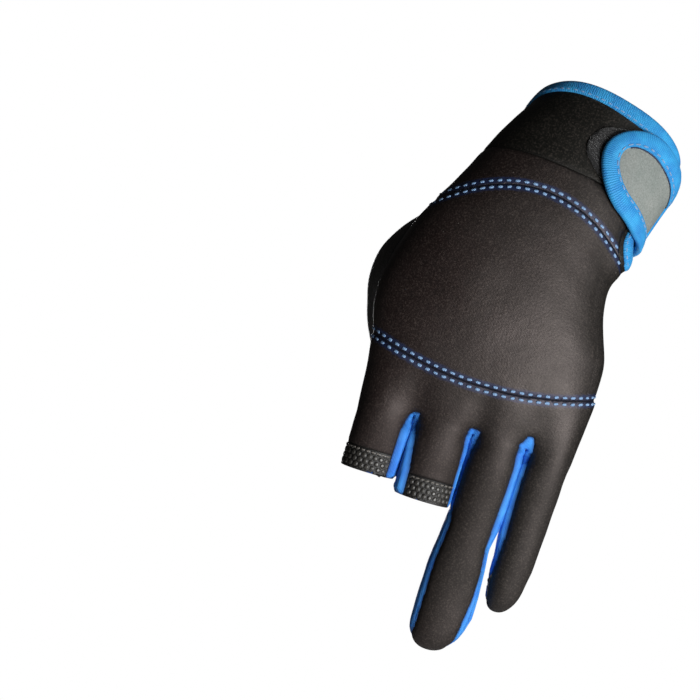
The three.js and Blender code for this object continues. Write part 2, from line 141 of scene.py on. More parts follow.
# How much of each gusset shows from the back: rows of a level below the web and a width, for the left
# finger's side and then the right finger's. A width below 0 shows nothing.
GUSSET_SHOWS = [
    ([(0.8, -2), (1.2, 0.5), (4, 1.8), (9, 3.2), (17, 3.5), (29, 3.5)],
     [(0.8, -2), (1.2, 0.4), (4, 0.9), (9, 1.7), (17, 2.5), (24, 3.2), (34, 3.6)]),
    ([(-0.6, -2), (-0.2, 1.4), (5, 1.5), (8, 1.1), (13, 1), (34, 0.9)],
     [(-0.6, -2), (-0.2, 1.7), (5, 1.7), (8, 1), (13, 0.6), (25, 0.4), (33, 0.7), (39, 1.6), (60, 1.7),
      (90, 2)]),
    ([(-4.4, -2), (-4, 0.8), (-2, 1.7), (2, 2.4), (6, 2), (10, 1.6), (56, 1.5), (63, 2.2), (70, 3),
      (76, 3.8), (80, 2.6), (88, 1.2)],
     [(-4.4, -2), (-4, 0.5), (-2, 1.3), (2, 1.8), (6, 1.5), (10, 1.2), (40, 1.2), (48, 0.9), (54, 0.4),
      (58, -1)]),
]
# How far the worn fingers stand out past the frame's: rows of a level, and how far to the left and to the
# right
SWELLS = [
    [(-10, 0, 0), (0, 0, 1.3), (30, 0, 1.7)],
    [(-10, 0, 0), (0, -1.3, 0), (30, -1.7, 0.5)],
    [(37, 0, 0), (45, 0.4, 0.1), (51, 1, 0.9), (58, 1.2, 2), (66, 1, 3), (75, 0.7, 3.8), (83, 0.4, 2),
     (93, 0, 0.7)],
    [(20, 0, 0), (50, -1, 0), (62, -2, -1), (75, -2, -1.8)],
]

# The stitches: how far apart they are, and their length, width and height
STITCH_PITCH, STITCH = 3.6, (2.0, 1.15, 0.7)
STITCH_ROWS = 1.35
BAND_STITCH_PITCH, BAND_STITCH = 2.1, (1.4, 0.6, 0.5)
CUFF_STITCH_PITCH, CUFF_STITCH = 3.0, (1.9, 0.55, 0.5)
STRAP_STITCH_PITCH, STRAP_STITCH = 3.4, (2.2, 0.7, 0.5)
# Dark dashes painted as the shadow that the strap tape's upper edge casts on the face: how far apart, and
# their length, width and height
SHADOW_DASH_PITCH, SHADOW_DASH = 0.9, (1.1, 0.7, 0.3)


# Numbers along tables and tubes

def smooth_min(a, b, blend):
    near = np.maximum(blend - np.abs(a - b), 0) / blend
    return np.minimum(a, b) - near * near * blend / 4


def smooth_max(a, b, blend):
    return -smooth_min(-a, -b, blend)


def smooth_step(low, high, value):
    t = np.clip((value - low) / (high - low), 0, 1)
    return t * t * (3 - 2 * t)


def smooth_rows(rows, count):
    """Samples a table's rows as a smooth course through them."""
    p = np.array(rows, float)
    p = np.vstack([2 * p[0] - p[1], p, 2 * p[-1] - p[-2]])
    t = np.linspace(0, len(rows) - 1, count)
    i = np.minimum(t.astype(int), len(rows) - 2)
    w = (t - i)[:, None]
    a, b, c, d = p[i], p[i + 1], p[i + 2], p[i + 3]
    bend = (2 * a - 5 * b + 4 * c - d) * w**2 + (3 * b - a - 3 * c + d) * w**3
    return 0.5 * (2 * b + (c - a) * w + bend)


def unit(v):
    return v / np.maximum(np.linalg.norm(v, axis=-1, keepdims=True), 1e-9)


def level_of(points):
    """How far points are below the webs between the fingers."""
    return -HAND_LENGTH - points[:, 2]


def run_along(line):
    """How far along a line each of its points is."""
    return np.append(0, np.cumsum(np.linalg.norm(np.diff(line, axis=0), axis=1)))


def tilt(lean, pitch):
    """The directions of tilted sections: across to the little finger, out to the back, and up."""
    l, p = np.radians(lean), np.radians(pitch)
    zero = np.zeros_like(l)
    across = np.stack([np.cos(l), zero, -np.sin(l)], -1)
    level = np.stack([zero, -np.cos(p), np.sin(p)], -1)
    up = unit(np.cross(level, across))
    return across, unit(np.cross(across, up)), up


class Tube:
    """Sections along a course, with the place of any point in them."""

    def __init__(self, centre, across, out, up, half, power):
        self.rows = np.hstack([centre, across, out, up, half])
        self.power = power
        step = np.linalg.norm(np.diff(centre, axis=0), axis=1)
        self.step = np.append(step, step[-1])

    def row(self, s):
        i = np.minimum(s.astype(int), len(self.rows) - 2)
        w = (s - i)[:, None]
        return self.rows[i] * (1 - w) + self.rows[i + 1] * w

    def locate(self, points):
        """Rows, places across and out of them, and heights above them, for points in space."""
        last = len(self.rows) - 1
        s = np.interp(-points[:, 2], -self.rows[:, 2], np.arange(last + 1.0))
        for _ in range(6):
            row = self.row(s)
            high = ((points - row[:, :3]) * row[:, 9:12]).sum(1)
            s = np.clip(s - high / self.step[s.astype(int)], 0, last)
        row = self.row(s)
        offset = points - row[:, :3]
        high = (offset * row[:, 9:12]).sum(1)
        a = (offset * row[:, 3:6]).sum(1)
        b = (offset * row[:, 6:9]).sum(1)
        return s, a, b, row, high

    def ratio(self, a, b, row):
        """How far out a point is in its section, with 1 on the outline."""
        power = self.power
        return ((np.abs(a) / row[:, 12]) ** power + (np.abs(b) / row[:, 13]) ** power) ** (1 / power)

    def reach(self, a, b, row):
        """How far a point is outside its section, along its ray from the section's centre."""
        away = np.hypot(a, b)
        return away - away / np.maximum(self.ratio(a, b, row), 1e-4)

    def point(self, s, angle, offset):
        """The point of the surface at a row and an angle, an offset outside it."""
        row = self.row(s)
        c, d = np.cos(angle), -np.sin(angle)
        power = 2 / self.power
        a = np.sign(c) * np.abs(c) ** power * (row[:, 12] + offset)
        b = np.sign(d) * np.abs(d) ** power * (row[:, 13] + offset)
        return row[:, :3] + a[:, None] * row[:, 3:6] + b[:, None] * row[:, 6:9]


def make_hand():
    rows = smooth_rows(HAND_SECTIONS, 161)
    centre = np.stack([rows[:, 1] * ROW_WIDTH, rows[:, 2] * PALM_DEPTH, -rows[:, 0] * HAND_LENGTH], -1)
    half = np.stack([rows[:, 3] * ROW_WIDTH, rows[:, 4] * PALM_DEPTH], -1) / 2
    return Tube(centre, *tilt(rows[:, 5], rows[:, 6]), half, HAND_POWER)


def make_thumb():
    rows = smooth_rows(THUMB_SECTIONS, 61)
    centre = np.stack([rows[:, 1], rows[:, 2], -rows[:, 0]], -1) * THUMB_LENGTH + np.array(THUMB_ROOT)
    half = np.stack([rows[:, 3] * THUMB_WIDTH, rows[:, 4] * THUMB_DEPTH], -1) / 2
    up = unit(-np.gradient(centre, axis=0))
    across = unit(np.array([1.0, 0, 0]) - up * up[:, :1])
    return Tube(centre, across, unit(np.cross(across, up)), up, half, FINGER_POWER)


def make_fingers():
    made, edge = [], ROW_START
    for i, row in enumerate(FINGERS):
        width = row["width"] * (ROW_WIDTH - 3 * WEB_GAP)
        depth = row["depth"] * width
        made.append({
            "x": edge + width / 2, "half": width / 2, "deep": depth / 2, "cut": i < CUT_SHORT,
            "length": row["length"] * RING_LENGTH,
            "drift": row["drift"] * width, "bend": row["bend"] * width,
            "left": row["left"] * depth, "right": row["right"] * depth,
        })
        edge += width + WEB_GAP
    return made


HAND, THUMB, FINGER = make_hand(), make_thumb(), make_fingers()
OPENING_ROW = 20
CUFF_ROW = np.linalg.norm(HAND.rows[2 * OPENING_ROW, :3] - HAND.rows[OPENING_ROW, :3])


def finger_taper(finger, level):
    """How a whole finger gets thinner towards its tip, as a share of its width."""
    return 1 - (0 if finger["cut"] else FINGER_TAPER) * np.clip(level / finger["length"], 0, 1)


def finger_sides(number, level):
    """How far a finger reaches to its left and to its right of its course."""
    levels, left, right = zip(*SWELLS[number])
    half = FINGER[number]["half"] * finger_taper(FINGER[number], level)
    return half + np.interp(level, levels, left), half + np.interp(level, levels, right)


def finger_course(finger, level):
    share = np.maximum(level + ROOT_OVERLAP, 0) / (finger["length"] + ROOT_OVERLAP)
    return finger["x"] + finger["drift"] * share**2, ROOT_DEPTH + finger["bend"] * share**2


# How far a point is outside each tube

def hand_reach(points):
    s, a, b, row, high = HAND.locate(points)
    side = HAND.reach(a, b, row)
    top = np.where(s < 1, high - PAST_END, -100)
    bottom = -(points[:, 2] + HAND_LENGTH) - WEB_RISE
    return smooth_max(np.maximum(side, top), bottom, 5)


def finger_reach(number, points):
    finger = FINGER[number]
    level = level_of(points)
    x, y = finger_course(finger, level)
    a, b = points[:, 0] - x, points[:, 1] - y
    left, right = finger_sides(number, level)
    deep = finger["deep"] * finger_taper(finger, level)
    power = FINGER_POWER
    side = np.abs(a / np.where(a < 0, left, right))
    r = (side ** power + np.abs(b / deep) ** power) ** (1 / power)
    if finger["cut"]:
        away = np.hypot(a, b)
        side = away - away / np.maximum(r, 1e-4)
        return np.maximum(side, np.maximum(level - finger["length"] - PAST_END, -level - ROOT_OVERLAP))
    tip = 2 * finger["half"] * TIP_LENGTH
    past = np.maximum(level - (finger["length"] - tip), 0)
    r = (r**2.3 + (past / tip) ** 2.3) ** (1 / 2.3)
    away = np.sqrt(a * a + b * b + past * past)
    return np.maximum(away - away / np.maximum(r, 1e-4), -level - ROOT_OVERLAP)


def thumb_reach(points):
    s, a, b, row, high = THUMB.locate(points)
    last = len(THUMB.rows) - 1
    side = THUMB.reach(a, b, row)
    ends = np.where(s < 0.5, high, np.where(s > last - 0.5, -high - PAST_END, -100))
    return np.maximum(side, ends)


def reaches(points):
    """The reach of the hand with its fingers, of each finger, and of the thumb."""
    fingers = np.stack([finger_reach(number, points) for number in range(len(FINGER))])
    body = smooth_min(hand_reach(points), fingers.min(0), WEB_BLEND)
    return body, fingers, thumb_reach(points)


def folds(points):
    """Soft unevenness of worn cloth, up to about a third of a millimetre."""
    x, y, z = points.T
    broad = np.sin(0.11 * x + 0.6 * np.sin(0.07 * z + 0.05 * y)) * np.sin(0.09 * z + 0.05 * x + 1)
    narrow = np.sin(0.31 * z + 0.8 * np.sin(0.12 * x) + 0.1 * y) * np.sin(0.17 * x + 0.13 * z)
    return FOLD_BROAD * broad + FOLD_NARROW * narrow


def valleys(points):
    """Shallow valleys that run up the back from between the fingers."""
    level = level_of(points)
    along = smooth_step(-26, -4, level) * (1 - smooth_step(2, 10, level))
    webs = [(a["x"] + a["half"] + b["x"] - b["half"]) / 2 for a, b in zip(FINGER, FINGER[1:])]
    across = sum(np.exp(-(((points[:, 0] - web) / VALLEY_WIDTH) ** 2)) for web in webs)
    return VALLEY_DEPTH * along * across


FLARE_ROW = np.array([OPENING_ROW * (1 + FLARE_DROP / CUFF_ROW)])
FLARE_CENTRE = HAND.point(FLARE_ROW, np.radians(FLARE_ANGLE), 0)[0]


def flare(points):
    """The round end of the slit stands a little off the wrist."""
    away = ((points - FLARE_CENTRE) ** 2).sum(1)
    return FLARE * np.exp(-away / FLARE_REACH**2)


def skin_reach(points):
    body, _, thumb = reaches(points)
    return smooth_min(body, thumb, THUMB_BLEND) + folds(points) + valleys(points) - flare(points)


# The skin's mesh

def field_grid(low, high):
    """Fills a grid with the skin's reach, finely only near its surface."""
    shape = np.ceil((high - low) / STEP).astype(int) + 1
    shape = (np.ceil(shape / 4) * 4).astype(int)
    coarse = np.stack(np.meshgrid(*[np.arange(n // 4) for n in shape], indexing="ij"), -1).reshape(-1, 3)
    middle = skin_reach(low + (coarse * 4 + 1.5) * STEP)
    grid = np.repeat(np.repeat(np.repeat(
        middle.reshape(*(shape // 4)), 4, axis=0), 4, axis=1), 4, axis=2)
    near = coarse[np.abs(middle) < 4.5 * STEP + 1.5] * 4
    inner = np.stack(np.meshgrid(*[np.arange(4)] * 3, indexing="ij"), -1).reshape(-1, 3)
    for start in range(0, len(near), 4000):
        cells = (near[start:start + 4000, None, :] + inner[None]).reshape(-1, 3)
        grid[cells[:, 0], cells[:, 1], cells[:, 2]] = skin_reach(low + cells * STEP)
    return grid


def surface_net(grid, low):
    """One vertex in each cell that the surface crosses, and a quad round each crossed edge."""
    inside = grid < 0
    corners = [(i, j, k) for i in (0, 1) for j in (0, 1) for k in (0, 1)]
    size = np.array(grid.shape) - 1
    count = sum(inside[i:i + size[0], j:j + size[1], k:k + size[2]].astype(np.int8) for i, j, k in corners)
    active = (count > 0) & (count < 8)
    cells = np.argwhere(active)
    number = np.full(active.shape, -1)
    number[active] = np.arange(len(cells))
    total, hits = np.zeros((len(cells), 3)), np.zeros(len(cells))
    for corner in corners:
        for axis in range(3):
            if corner[axis]:
                continue
            a = cells + corner
            b = a.copy()
            b[:, axis] += 1
            fa, fb = grid[tuple(a.T)], grid[tuple(b.T)]
            cross = (fa < 0) != (fb < 0)
            place = a[cross].astype(float)
            place[:, axis] += fa[cross] / (fa[cross] - fb[cross])
            total[cross] += place
            hits[cross] += 1
    quads = []
    for axis in range(3):
        u, v = (axis + 1) % 3, (axis + 2) % 3
        first = [slice(1, -1)] * 3
        first[axis] = slice(0, -1)
        second = list(first)
        second[axis] = slice(1, None)
        near, far = inside[tuple(first)], inside[tuple(second)]
        edges = np.argwhere(near != far)
        starts = near[tuple(edges.T)]
        for k in (u, v):
            edges[:, k] += 1
        around = []
        for du, dv in ((-1, -1), (0, -1), (0, 0), (-1, 0)):
            cell = edges.copy()
            cell[:, u] += du
            cell[:, v] += dv
            around.append(number[tuple(cell.T)])
        quad = np.stack(around, 1)
        quad[~starts] = quad[~starts][:, ::-1]
        quads.append(quad)
    return low + total / hits[:, None] * STEP, np.concatenate(quads)


def face_normals(points, quads):
    p = points[quads]
    return np.cross(p[:, 2] - p[:, 0], p[:, 3] - p[:, 1])


def vertex_normals(points, quads):
    normal = face_normals(points, quads)
    total = np.zeros_like(points)
    for k in range(4):
        np.add.at(total, quads[:, k], normal)
    return unit(total)


def face_edges(quads):
    """The four edges of every face, in the direction of that face."""
    return np.concatenate([quads[:, [k, (k + 1) % 4]] for k in range(4)])


def neighbour_mean(points, edges):
    total = np.zeros_like(points)
    count = np.zeros(len(points))
    for a, b in ((0, 1), (1, 0)):
        np.add.at(total, edges[:, a], points[edges[:, b]])
        np.add.at(count, edges[:, a], 1)
    return total / np.maximum(count, 1)[:, None]


def relax(points, quads, rounds, held=None):
    """Evens out the mesh along the surface."""
    edges = np.unique(np.sort(face_edges(quads), axis=1), axis=0)
    for _ in range(rounds):
        normal = vertex_normals(points, quads)
        move = 0.5 * (neighbour_mean(points, edges) - points)
        move -= normal * (move * normal).sum(1, keepdims=True)
        if held is not None:
            move[held] = 0
        points = points + move
        points = points - normal * np.clip(skin_reach(points), -0.5, 0.5)[:, None]
    return points


# Where the seams and edges run. Each zone's field is negative inside it, in millimetres from its edge.

def hand_place(points):
    """The drop down the cuff from the opening, and the angle round it."""
    s, a, b, row, _ = HAND.locate(points)
    r = np.maximum(HAND.ratio(a, b, row), 1e-4)
    c = np.sign(a) * (np.abs(a) / row[:, 12] / r) ** (HAND.power / 2)
    d = np.sign(b) * (np.abs(b) / row[:, 13] / r) ** (HAND.power / 2)
    return (s / OPENING_ROW - 1) * CUFF_ROW, np.arctan2(-d, c)


def slit_distance(points):
    drop, angle = hand_place(points)
    across = (angle - math.radians(SLIT_ANGLE)) * OPENING_DEPTH / 2
    down = np.maximum(drop - (SLIT_DEPTH - SLIT_HALF_WIDTH), 0)
    return np.hypot(across, down) - SLIT_HALF_WIDTH


def plane_height(points, centre, lean, pitch):
    _, _, up = tilt(np.float64(lean), np.float64(pitch))
    return (points - centre) @ up


SEAM_CENTRE = HAND.row(np.array([OPENING_ROW * (1 + CUFF_HEIGHT / CUFF_ROW)]))[0, :3]


def mouth_field(points):
    return smooth_max(plane_height(points, 0, RIM_LEAN, RIM_PITCH), -slit_distance(points), 5)


def binding_width(points):
    """The binding is narrower towards the thumb's side."""
    return np.interp(points[:, 0], *BINDING_SHOWS)


def cuff_field(points):
    above = -plane_height(points, SEAM_CENTRE, SEAM_LEAN, SEAM_PITCH)
    return smooth_min(above, slit_distance(points) - BINDING_WIDTH - SLIT_BORDER, 4)


def thumb_end_height(points):
    row = THUMB.rows[-1]
    return (points - row[:3]) @ row[9:12]


def curve_height(seam):
    (x0, z0), (x1, z1), (x2, z2) = seam
    t = np.linspace(0, 1, 60)
    cx, cz = 2 * x1 - (x0 + x2) / 2, 2 * z1 - (z0 + z2) / 2
    x = (1 - t) ** 2 * x0 + 2 * t * (1 - t) * cx + t * t * x2
    z = (1 - t) ** 2 * z0 + 2 * t * (1 - t) * cz + t * t * z2
    return x * ROW_WIDTH, z * HAND_LENGTH


WRIST_CURVE, KNUCKLE_CURVE = curve_height(WRIST_SEAM), curve_height(KNUCKLE_SEAM)


def seam_field(points, curve):
    """Negative below a seam of the back."""
    slope = np.interp(points[:, 0], curve[0], np.gradient(curve[1], curve[0]))
    return (points[:, 2] - np.interp(points[:, 0], *curve)) / np.hypot(1, slope)


def side_field(points, fingers):
    """Negative on the back of the glove."""
    level = level_of(points)
    hand_y = np.interp(level, -HAND_LENGTH - HAND.rows[:, 2], HAND.rows[:, 1])
    nearest = fingers.argmin(0)
    finger_y = np.choose(nearest, [finger_course(f, level)[1] for f in FINGER])
    w = smooth_step(-14, 2, level)
    little = FINGER[-1]["x"]
    outer = smooth_step(-12, 16, level) * smooth_step(little - 4, little + 4, points[:, 0])
    shift = HAND_SEAM_SHIFT * (1 - outer) + LITTLE_SEAM_SHIFT * outer
    return points[:, 1] - (hand_y * (1 - w) + finger_y * w) - shift


def gusset_field(points, fingers, pair):
    """Negative on the strip between two neighbouring fingers."""
    left, right = FINGER[pair], FINGER[pair + 1]
    level = level_of(points)
    share = np.clip(0.5 + (fingers[pair] - fingers[pair + 1]) / 5, 0, 1)
    (x0, y0), (x1, y1) = finger_course(left, level), finger_course(right, level)
    widths, ends = [], []
    for finger in (left, right):
        along = np.clip((level + GUSSET_RISE) / (finger["length"] + GUSSET_RISE), 0, 1)
        narrow = 0 if finger["cut"] else (GUSSET_WIDTH - GUSSET_TIP_WIDTH) * along
        widths.append(GUSSET_WIDTH - narrow)
        ends.append(level - (1000 if finger["cut"] else finger["length"] - GUSSET_STOP))
    middle = (y0 - left["right"]) * (1 - share) + (y1 - right["left"]) * share
    width = widths[0] * (1 - share) + widths[1] * share
    end = np.where(share < 0.5, ends[0], ends[1])
    shows = [np.interp(level, *zip(*rows)) for rows in GUSSET_SHOWS[pair]]
    free = [np.where(level > f["length"] - 0.5, 20, 0) for f in (left, right)]
    start = x0 + finger_sides(pair, level)[1] - shows[0] - free[0]
    stop = x1 - finger_sides(pair + 1, level)[0] + shows[1] + free[1]
    on_back = np.maximum(start - points[:, 0], points[:, 0] - stop)
    out = points[:, 1] - middle
    web = width / 2 - (GUSSET_WIDTH / 2 - 0.5) * smooth_step(0, 6, level)
    back_part = np.minimum(np.maximum(on_back, -out - GUSSET_WIDTH), -out - web)
    strip = np.where(out < 0, back_part, out - width / 2)
    sides = np.maximum(x0 - points[:, 0], points[:, 0] - x1)
    return np.maximum(np.maximum(smooth_max(strip, end, 3), sides), -level - GUSSET_RISE)


FIELDS = ["mouth", "binding", "cuff", "thumb", "thumb_end", "thumb_band", "side", "wrist", "knuckle",
          "gusset0", "gusset1", "gusset2", "finger_end", "finger_band"]


def zone_fields(points):
    body, fingers, thumb = reaches(points)
    level = level_of(points)
    nearest = fingers.argmin(0)
    length = np.array([f["length"] if f["cut"] else 1000 for f in FINGER])[nearest]
    end = -thumb_end_height(points)
    return {
        "mouth": mouth_field(points),
        "cuff": cuff_field(points),
        "thumb": thumb - body,
        "thumb_end": np.where(thumb < body, end, -100),
        "thumb_band": np.where(thumb < body, -end - BAND_WIDTH, 100),
        "side": side_field(points, fingers),
        "wrist": seam_field(points, WRIST_CURVE),
        "knuckle": seam_field(points, KNUCKLE_CURVE),
        **{f"gusset{k}": gusset_field(points, fingers, k) for k in range(3)},
        "binding": -binding_width(points) - mouth_field(points),
        "finger_end": level - length,
        "finger_band": length - level - BAND_WIDTH,
        "nearest": nearest,
    }


GUSSETS = ["gusset_index_middle", "gusset_middle_ring", "gusset_ring_little"]
BANDS = ["index_band", "middle_band_back", "middle_band_palm"]
PANELS = ["gone", "cuff_edge", "cuff", "back_wrist", "back_hand", "back_fingers", "palm", "thumb",
          "thumb_band", *BANDS, *GUSSETS]


def panel_of(f):
    """The number of the panel that each point belongs to."""
    back = f["side"] < 0
    above_knuckles = np.where(f["wrist"] < 0, PANELS.index("back_hand"), PANELS.index("back_wrist"))
    on_back = np.where(f["knuckle"] < 0, PANELS.index("back_fingers"), above_knuckles)
    panel = np.where(back, on_back, PANELS.index("palm"))
    middle = np.where(back, PANELS.index("middle_band_back"), PANELS.index("middle_band_palm"))
    band = np.where(f["nearest"] == 0, PANELS.index("index_band"), middle)
    panel = np.where((f["finger_band"] < 0) & (f["nearest"] < CUT_SHORT), band, panel)
    for k in range(3):
        panel = np.where(f[f"gusset{k}"] < 0, PANELS.index(GUSSETS[k]), panel)
    thumb = np.where(f["thumb_band"] < 0, PANELS.index("thumb_band"), PANELS.index("thumb"))
    panel = np.where(f["thumb"] < 0, thumb, panel)
    cuff = np.where(f["binding"] < 0, PANELS.index("cuff_edge"), PANELS.index("cuff"))
    panel = np.where(f["cuff"] < 0, cuff, panel)
    gone = (f["mouth"] > 0) | (f["thumb_end"] > 0) | (f["finger_end"] > 0)
    return np.where(gone, 0, panel)


def snap_to_seams(points, quads, panel):
    """Moves the vertices between two panels on to the exact line of the seam, and returns which they are."""
    low, high = np.full(len(points), 99), np.full(len(points), -1)
    for k in range(4):
        np.minimum.at(low, quads[:, k], panel)
        np.maximum.at(high, quads[:, k], panel)
    edge = np.flatnonzero(low != high)
    fields = zone_fields(points[quads].mean(1))
    for name in FIELDS:
        value = fields[name]
        least, most = np.full(len(points), 1e3), np.full(len(points), -1e3)
        for k in range(4):
            np.minimum.at(least, quads[:, k], value)
            np.maximum.at(most, quads[:, k], value)
        near = edge[(least[edge] < 0) & (most[edge] > 0) & (least[edge] > -4) & (most[edge] < 4)]
        if len(near):
            slide_to_zero(points, near, name)
    return edge


def slide_to_zero(points, near, name):
    step = 0.2
    for _ in range(3):
        p = points[near]
        value = zone_fields(p)[name]
        slope = np.stack([
            (zone_fields(p + step * axis)[name] - zone_fields(p - step * axis)[name]) / (2 * step)
            for axis in np.eye(3)
        ], -1)
        steep = (slope * slope).sum(1)
        move = -slope * (value / np.maximum(steep, 0.05))[:, None]
        length = np.linalg.norm(move, axis=1, keepdims=True)
        move *= np.minimum(1, STEP / np.maximum(length, 1e-9))
        points[near] = p + move


def build_skin():
    points, quads = surface_net(field_grid(*SKIN_BOX), SKIN_BOX[0])
    points = relax(points, quads, 6)
    panel = panel_of(zone_fields(points[quads].mean(1)))
    edge = snap_to_seams(points, quads, panel)
    points = relax(points, quads, 3, held=edge)
    return points, quads, panel


# Making objects

def mesh_object(name, points, faces, uv=None):
    mesh = bpy.data.meshes.new(name)
    mesh.from_pydata((np.asarray(points) * 0.001).tolist(), [], [list(map(int, f)) for f in faces])
    if uv is not None:
        layer = mesh.uv_layers.new(name="UVMap")
        loops = np.zeros(len(mesh.loops), int)
        mesh.loops.foreach_get("vertex_index", loops)
        layer.data.foreach_set("uv", (np.asarray(uv)[loops] * 0.001).astype(np.float32).ravel())
    mesh.polygons.foreach_set("use_smooth", np.ones(len(mesh.polygons), bool))
    mesh.update()
    thing = bpy.data.objects.new(name, mesh)
    bpy.context.scene.collection.objects.link(thing)
    return thing


def add_value(thing, name, values):
    attribute = thing.data.attributes.new(name, "FLOAT", "POINT")
    attribute.data.foreach_set("value", np.asarray(values, np.float32))


def dress(thing, material, slot, *nodes):
    """Gives a piece its material and ties it to the frame."""
    for one in material if isinstance(material, list) else [material]:
        thing.data.materials.append(one)
    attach(thing, "root")
    if nodes:
        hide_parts(*nodes)


def boundary_edges(quads):
    """Edges used by one face only, in the direction of that face."""
    edges = face_edges(quads)
    key = np.sort(edges, axis=1)
    _, first, count = np.unique(key, axis=0, return_index=True, return_counts=True)
    return edges[first[count == 1]]


def find_nearest(points, targets):
    """The number of the nearest target to each point, and how far it is."""
    tree = KDTree(len(targets))
    for i, p in enumerate(targets):
        tree.insert(p, i)
    tree.balance()
    return [tree.find(p)[1:] for p in points]


def shell(p, n, local, top, bottom, bulge=None, rows=1):
    """A closed sheet: the faces raised by top and by bottom along the normals, joined round their rim.
    bulge is how far each vertex's rim rolls out between the two, in rows steps."""
    upper, lower = p + n * top[:, None], p + n * bottom[:, None]
    rim = boundary_edges(local)
    ring = np.unique(rim)
    count = len(p)
    out = rim_direction(p, n, rim, ring)
    reach = np.zeros(count) if bulge is None else bulge
    layers, place = [upper, lower], [np.arange(count)]
    for k in range(rows):
        turn = math.pi * (k + 1) / (rows + 1)
        middle = (upper[ring] + lower[ring]) / 2
        half = (upper[ring] - lower[ring]) / 2
        layers.append(middle + half * math.cos(turn) + out * (reach[ring] * math.sin(turn))[:, None])
        number = np.full(count, -1)
        number[ring] = np.arange(len(ring)) + 2 * count + k * len(ring)
        place.append(number)
    place.append(np.arange(count) + count)
    a, b = rim[:, 0], rim[:, 1]
    faces = [local, local[:, ::-1] + count]
    for first, second in zip(place, place[1:]):
        faces.append(np.stack([first[b], first[a], second[a], second[b]], 1))
    return np.concatenate(layers), np.concatenate(faces)


def rim_direction(p, n, rim, ring):
    """Which way is off the sheet at each vertex of its rim."""
    off = np.cross(p[rim[:, 1]] - p[rim[:, 0]], n[rim[:, 0]])
    total = np.zeros_like(p)
    for _ in range(3):
        np.add.at(total, rim[:, 0], off)
        np.add.at(total, rim[:, 1], off)
        off = unit(total)[rim[:, 0]] + unit(total)[rim[:, 1]]
    return unit(total[ring])


def part_of(skin, *names):
    """The points, normals and faces of some panels of the skin, and the numbers of their vertices."""
    points, quads, panel, normals = skin
    mine = quads[np.isin(panel, [PANELS.index(name) for name in names])]
    used, local = np.unique(mine, return_inverse=True)
    return points[used], normals[used], local.reshape(mine.shape), used


# Materials

def srgb(r, g, b):
    def linear(c):
        c /= 255
        return c / 12.92 if c <= 0.04045 else ((c + 0.055) / 1.055) ** 2.4
    return (linear(r), linear(g), linear(b), 1)


class Nodes:
    """Short calls for building a material's nodes."""

    def __init__(self, name):
        self.material = bpy.data.materials.new(name)
        self.material.use_nodes = True
        self.tree = self.material.node_tree
        self.shader = self.tree.nodes["Principled BSDF"]

    def feed(self, socket, value):
        """Links a socket to another node's output, or gives it a fixed value."""
        if hasattr(value, "is_output"):
            self.tree.links.new(value, socket)
        else:
            socket.default_value = value

    def add(self, kind, inputs=None, **settings):
        node = self.tree.nodes.new(kind)
        for name, value in settings.items():
            setattr(node, name, value)
        for name, value in (inputs or {}).items():
            self.feed(node.inputs[name], value)
        return node

    def math(self, operation, a, b=0.0):
        return self.add("ShaderNodeMath", {0: a, 1: b}, operation=operation).outputs[0]

    def mix(self, factor, a, b):
        return self.add("ShaderNodeMix", {"Factor": factor, 6: a, 7: b}, data_type="RGBA").outputs[2]

    def lay(self, colour, mask, share, other):
        """Lays a share of another colour over a colour, as far as a mask says."""
        return self.mix(self.math("MULTIPLY", mask, share), colour, other)

    def ramp(self, factor, low, high):
        inputs = {"Value": factor, "From Min": low, "From Max": high}
        return self.add("ShaderNodeMapRange", inputs).outputs[0]

    def value(self, name):
        """A number that the mesh carries at each of its points."""
        return self.add("ShaderNodeAttribute", attribute_name=name).outputs["Fac"]

    def place(self):
        """Where a point is on the object, in millimetres."""
        at = self.add("ShaderNodeTexCoord").outputs["Object"]
        return self.add("ShaderNodeVectorMath", {0: at, "Scale": 1000.0}, operation="SCALE").outputs[0]

    def noise(self, at, scale, detail=2.0, rough=0.5):
        return self.add("ShaderNodeTexNoise", {"Vector": at, "Scale": scale, "Detail": detail,
                                               "Roughness": rough}).outputs[0]

    def bump(self, height, depth, normal=None):
        inputs = {"Height": height, "Distance": depth * 0.001, "Strength": 1.0}
        if normal is not None:
            inputs["Normal"] = normal
        return self.add("ShaderNodeBump", inputs).outputs[0]

    def finish(self, colour, roughness, normal, sheen=0.0, specular=0.5):
        values = {"Base Color": colour, "Roughness": roughness, "Normal": normal, "Sheen Weight": sheen,
                  "Sheen Roughness": 0.5, "Specular IOR Level": specular}
        for name, value in values.items():
            self.feed(self.shader.inputs[name], value)
        return self.material


def knit(n, at, pitch):
    """The fine ribs of a knitted face, laid on the two directions of whichever side a point is on."""
    parts = n.add("ShaderNodeSeparateXYZ", {0: at})
    x, y, z = parts.outputs
    turn = 2 * math.pi / pitch
    normal = n.add("ShaderNodeSeparateXYZ", {0: n.add("ShaderNodeTexCoord").outputs["Normal"]})
    side = n.ramp(n.math("ABSOLUTE", normal.outputs[0]), 0.62, 0.8)
    across = n.add("ShaderNodeMix", {"Factor": side, 2: x, 3: y}).outputs[0]
    rows = n.math("SINE", n.math("MULTIPLY", z, turn))
    lean = n.math("MULTIPLY", n.math("SINE", n.math("MULTIPLY", z, turn / 2)), 0.8)
    ribs = n.math("SINE", n.math("ADD", n.math("MULTIPLY", across, turn * 1.25), lean))
    return n.math("MULTIPLY", ribs, n.math("ADD", n.math("MULTIPLY", rows, 0.35), 0.65))


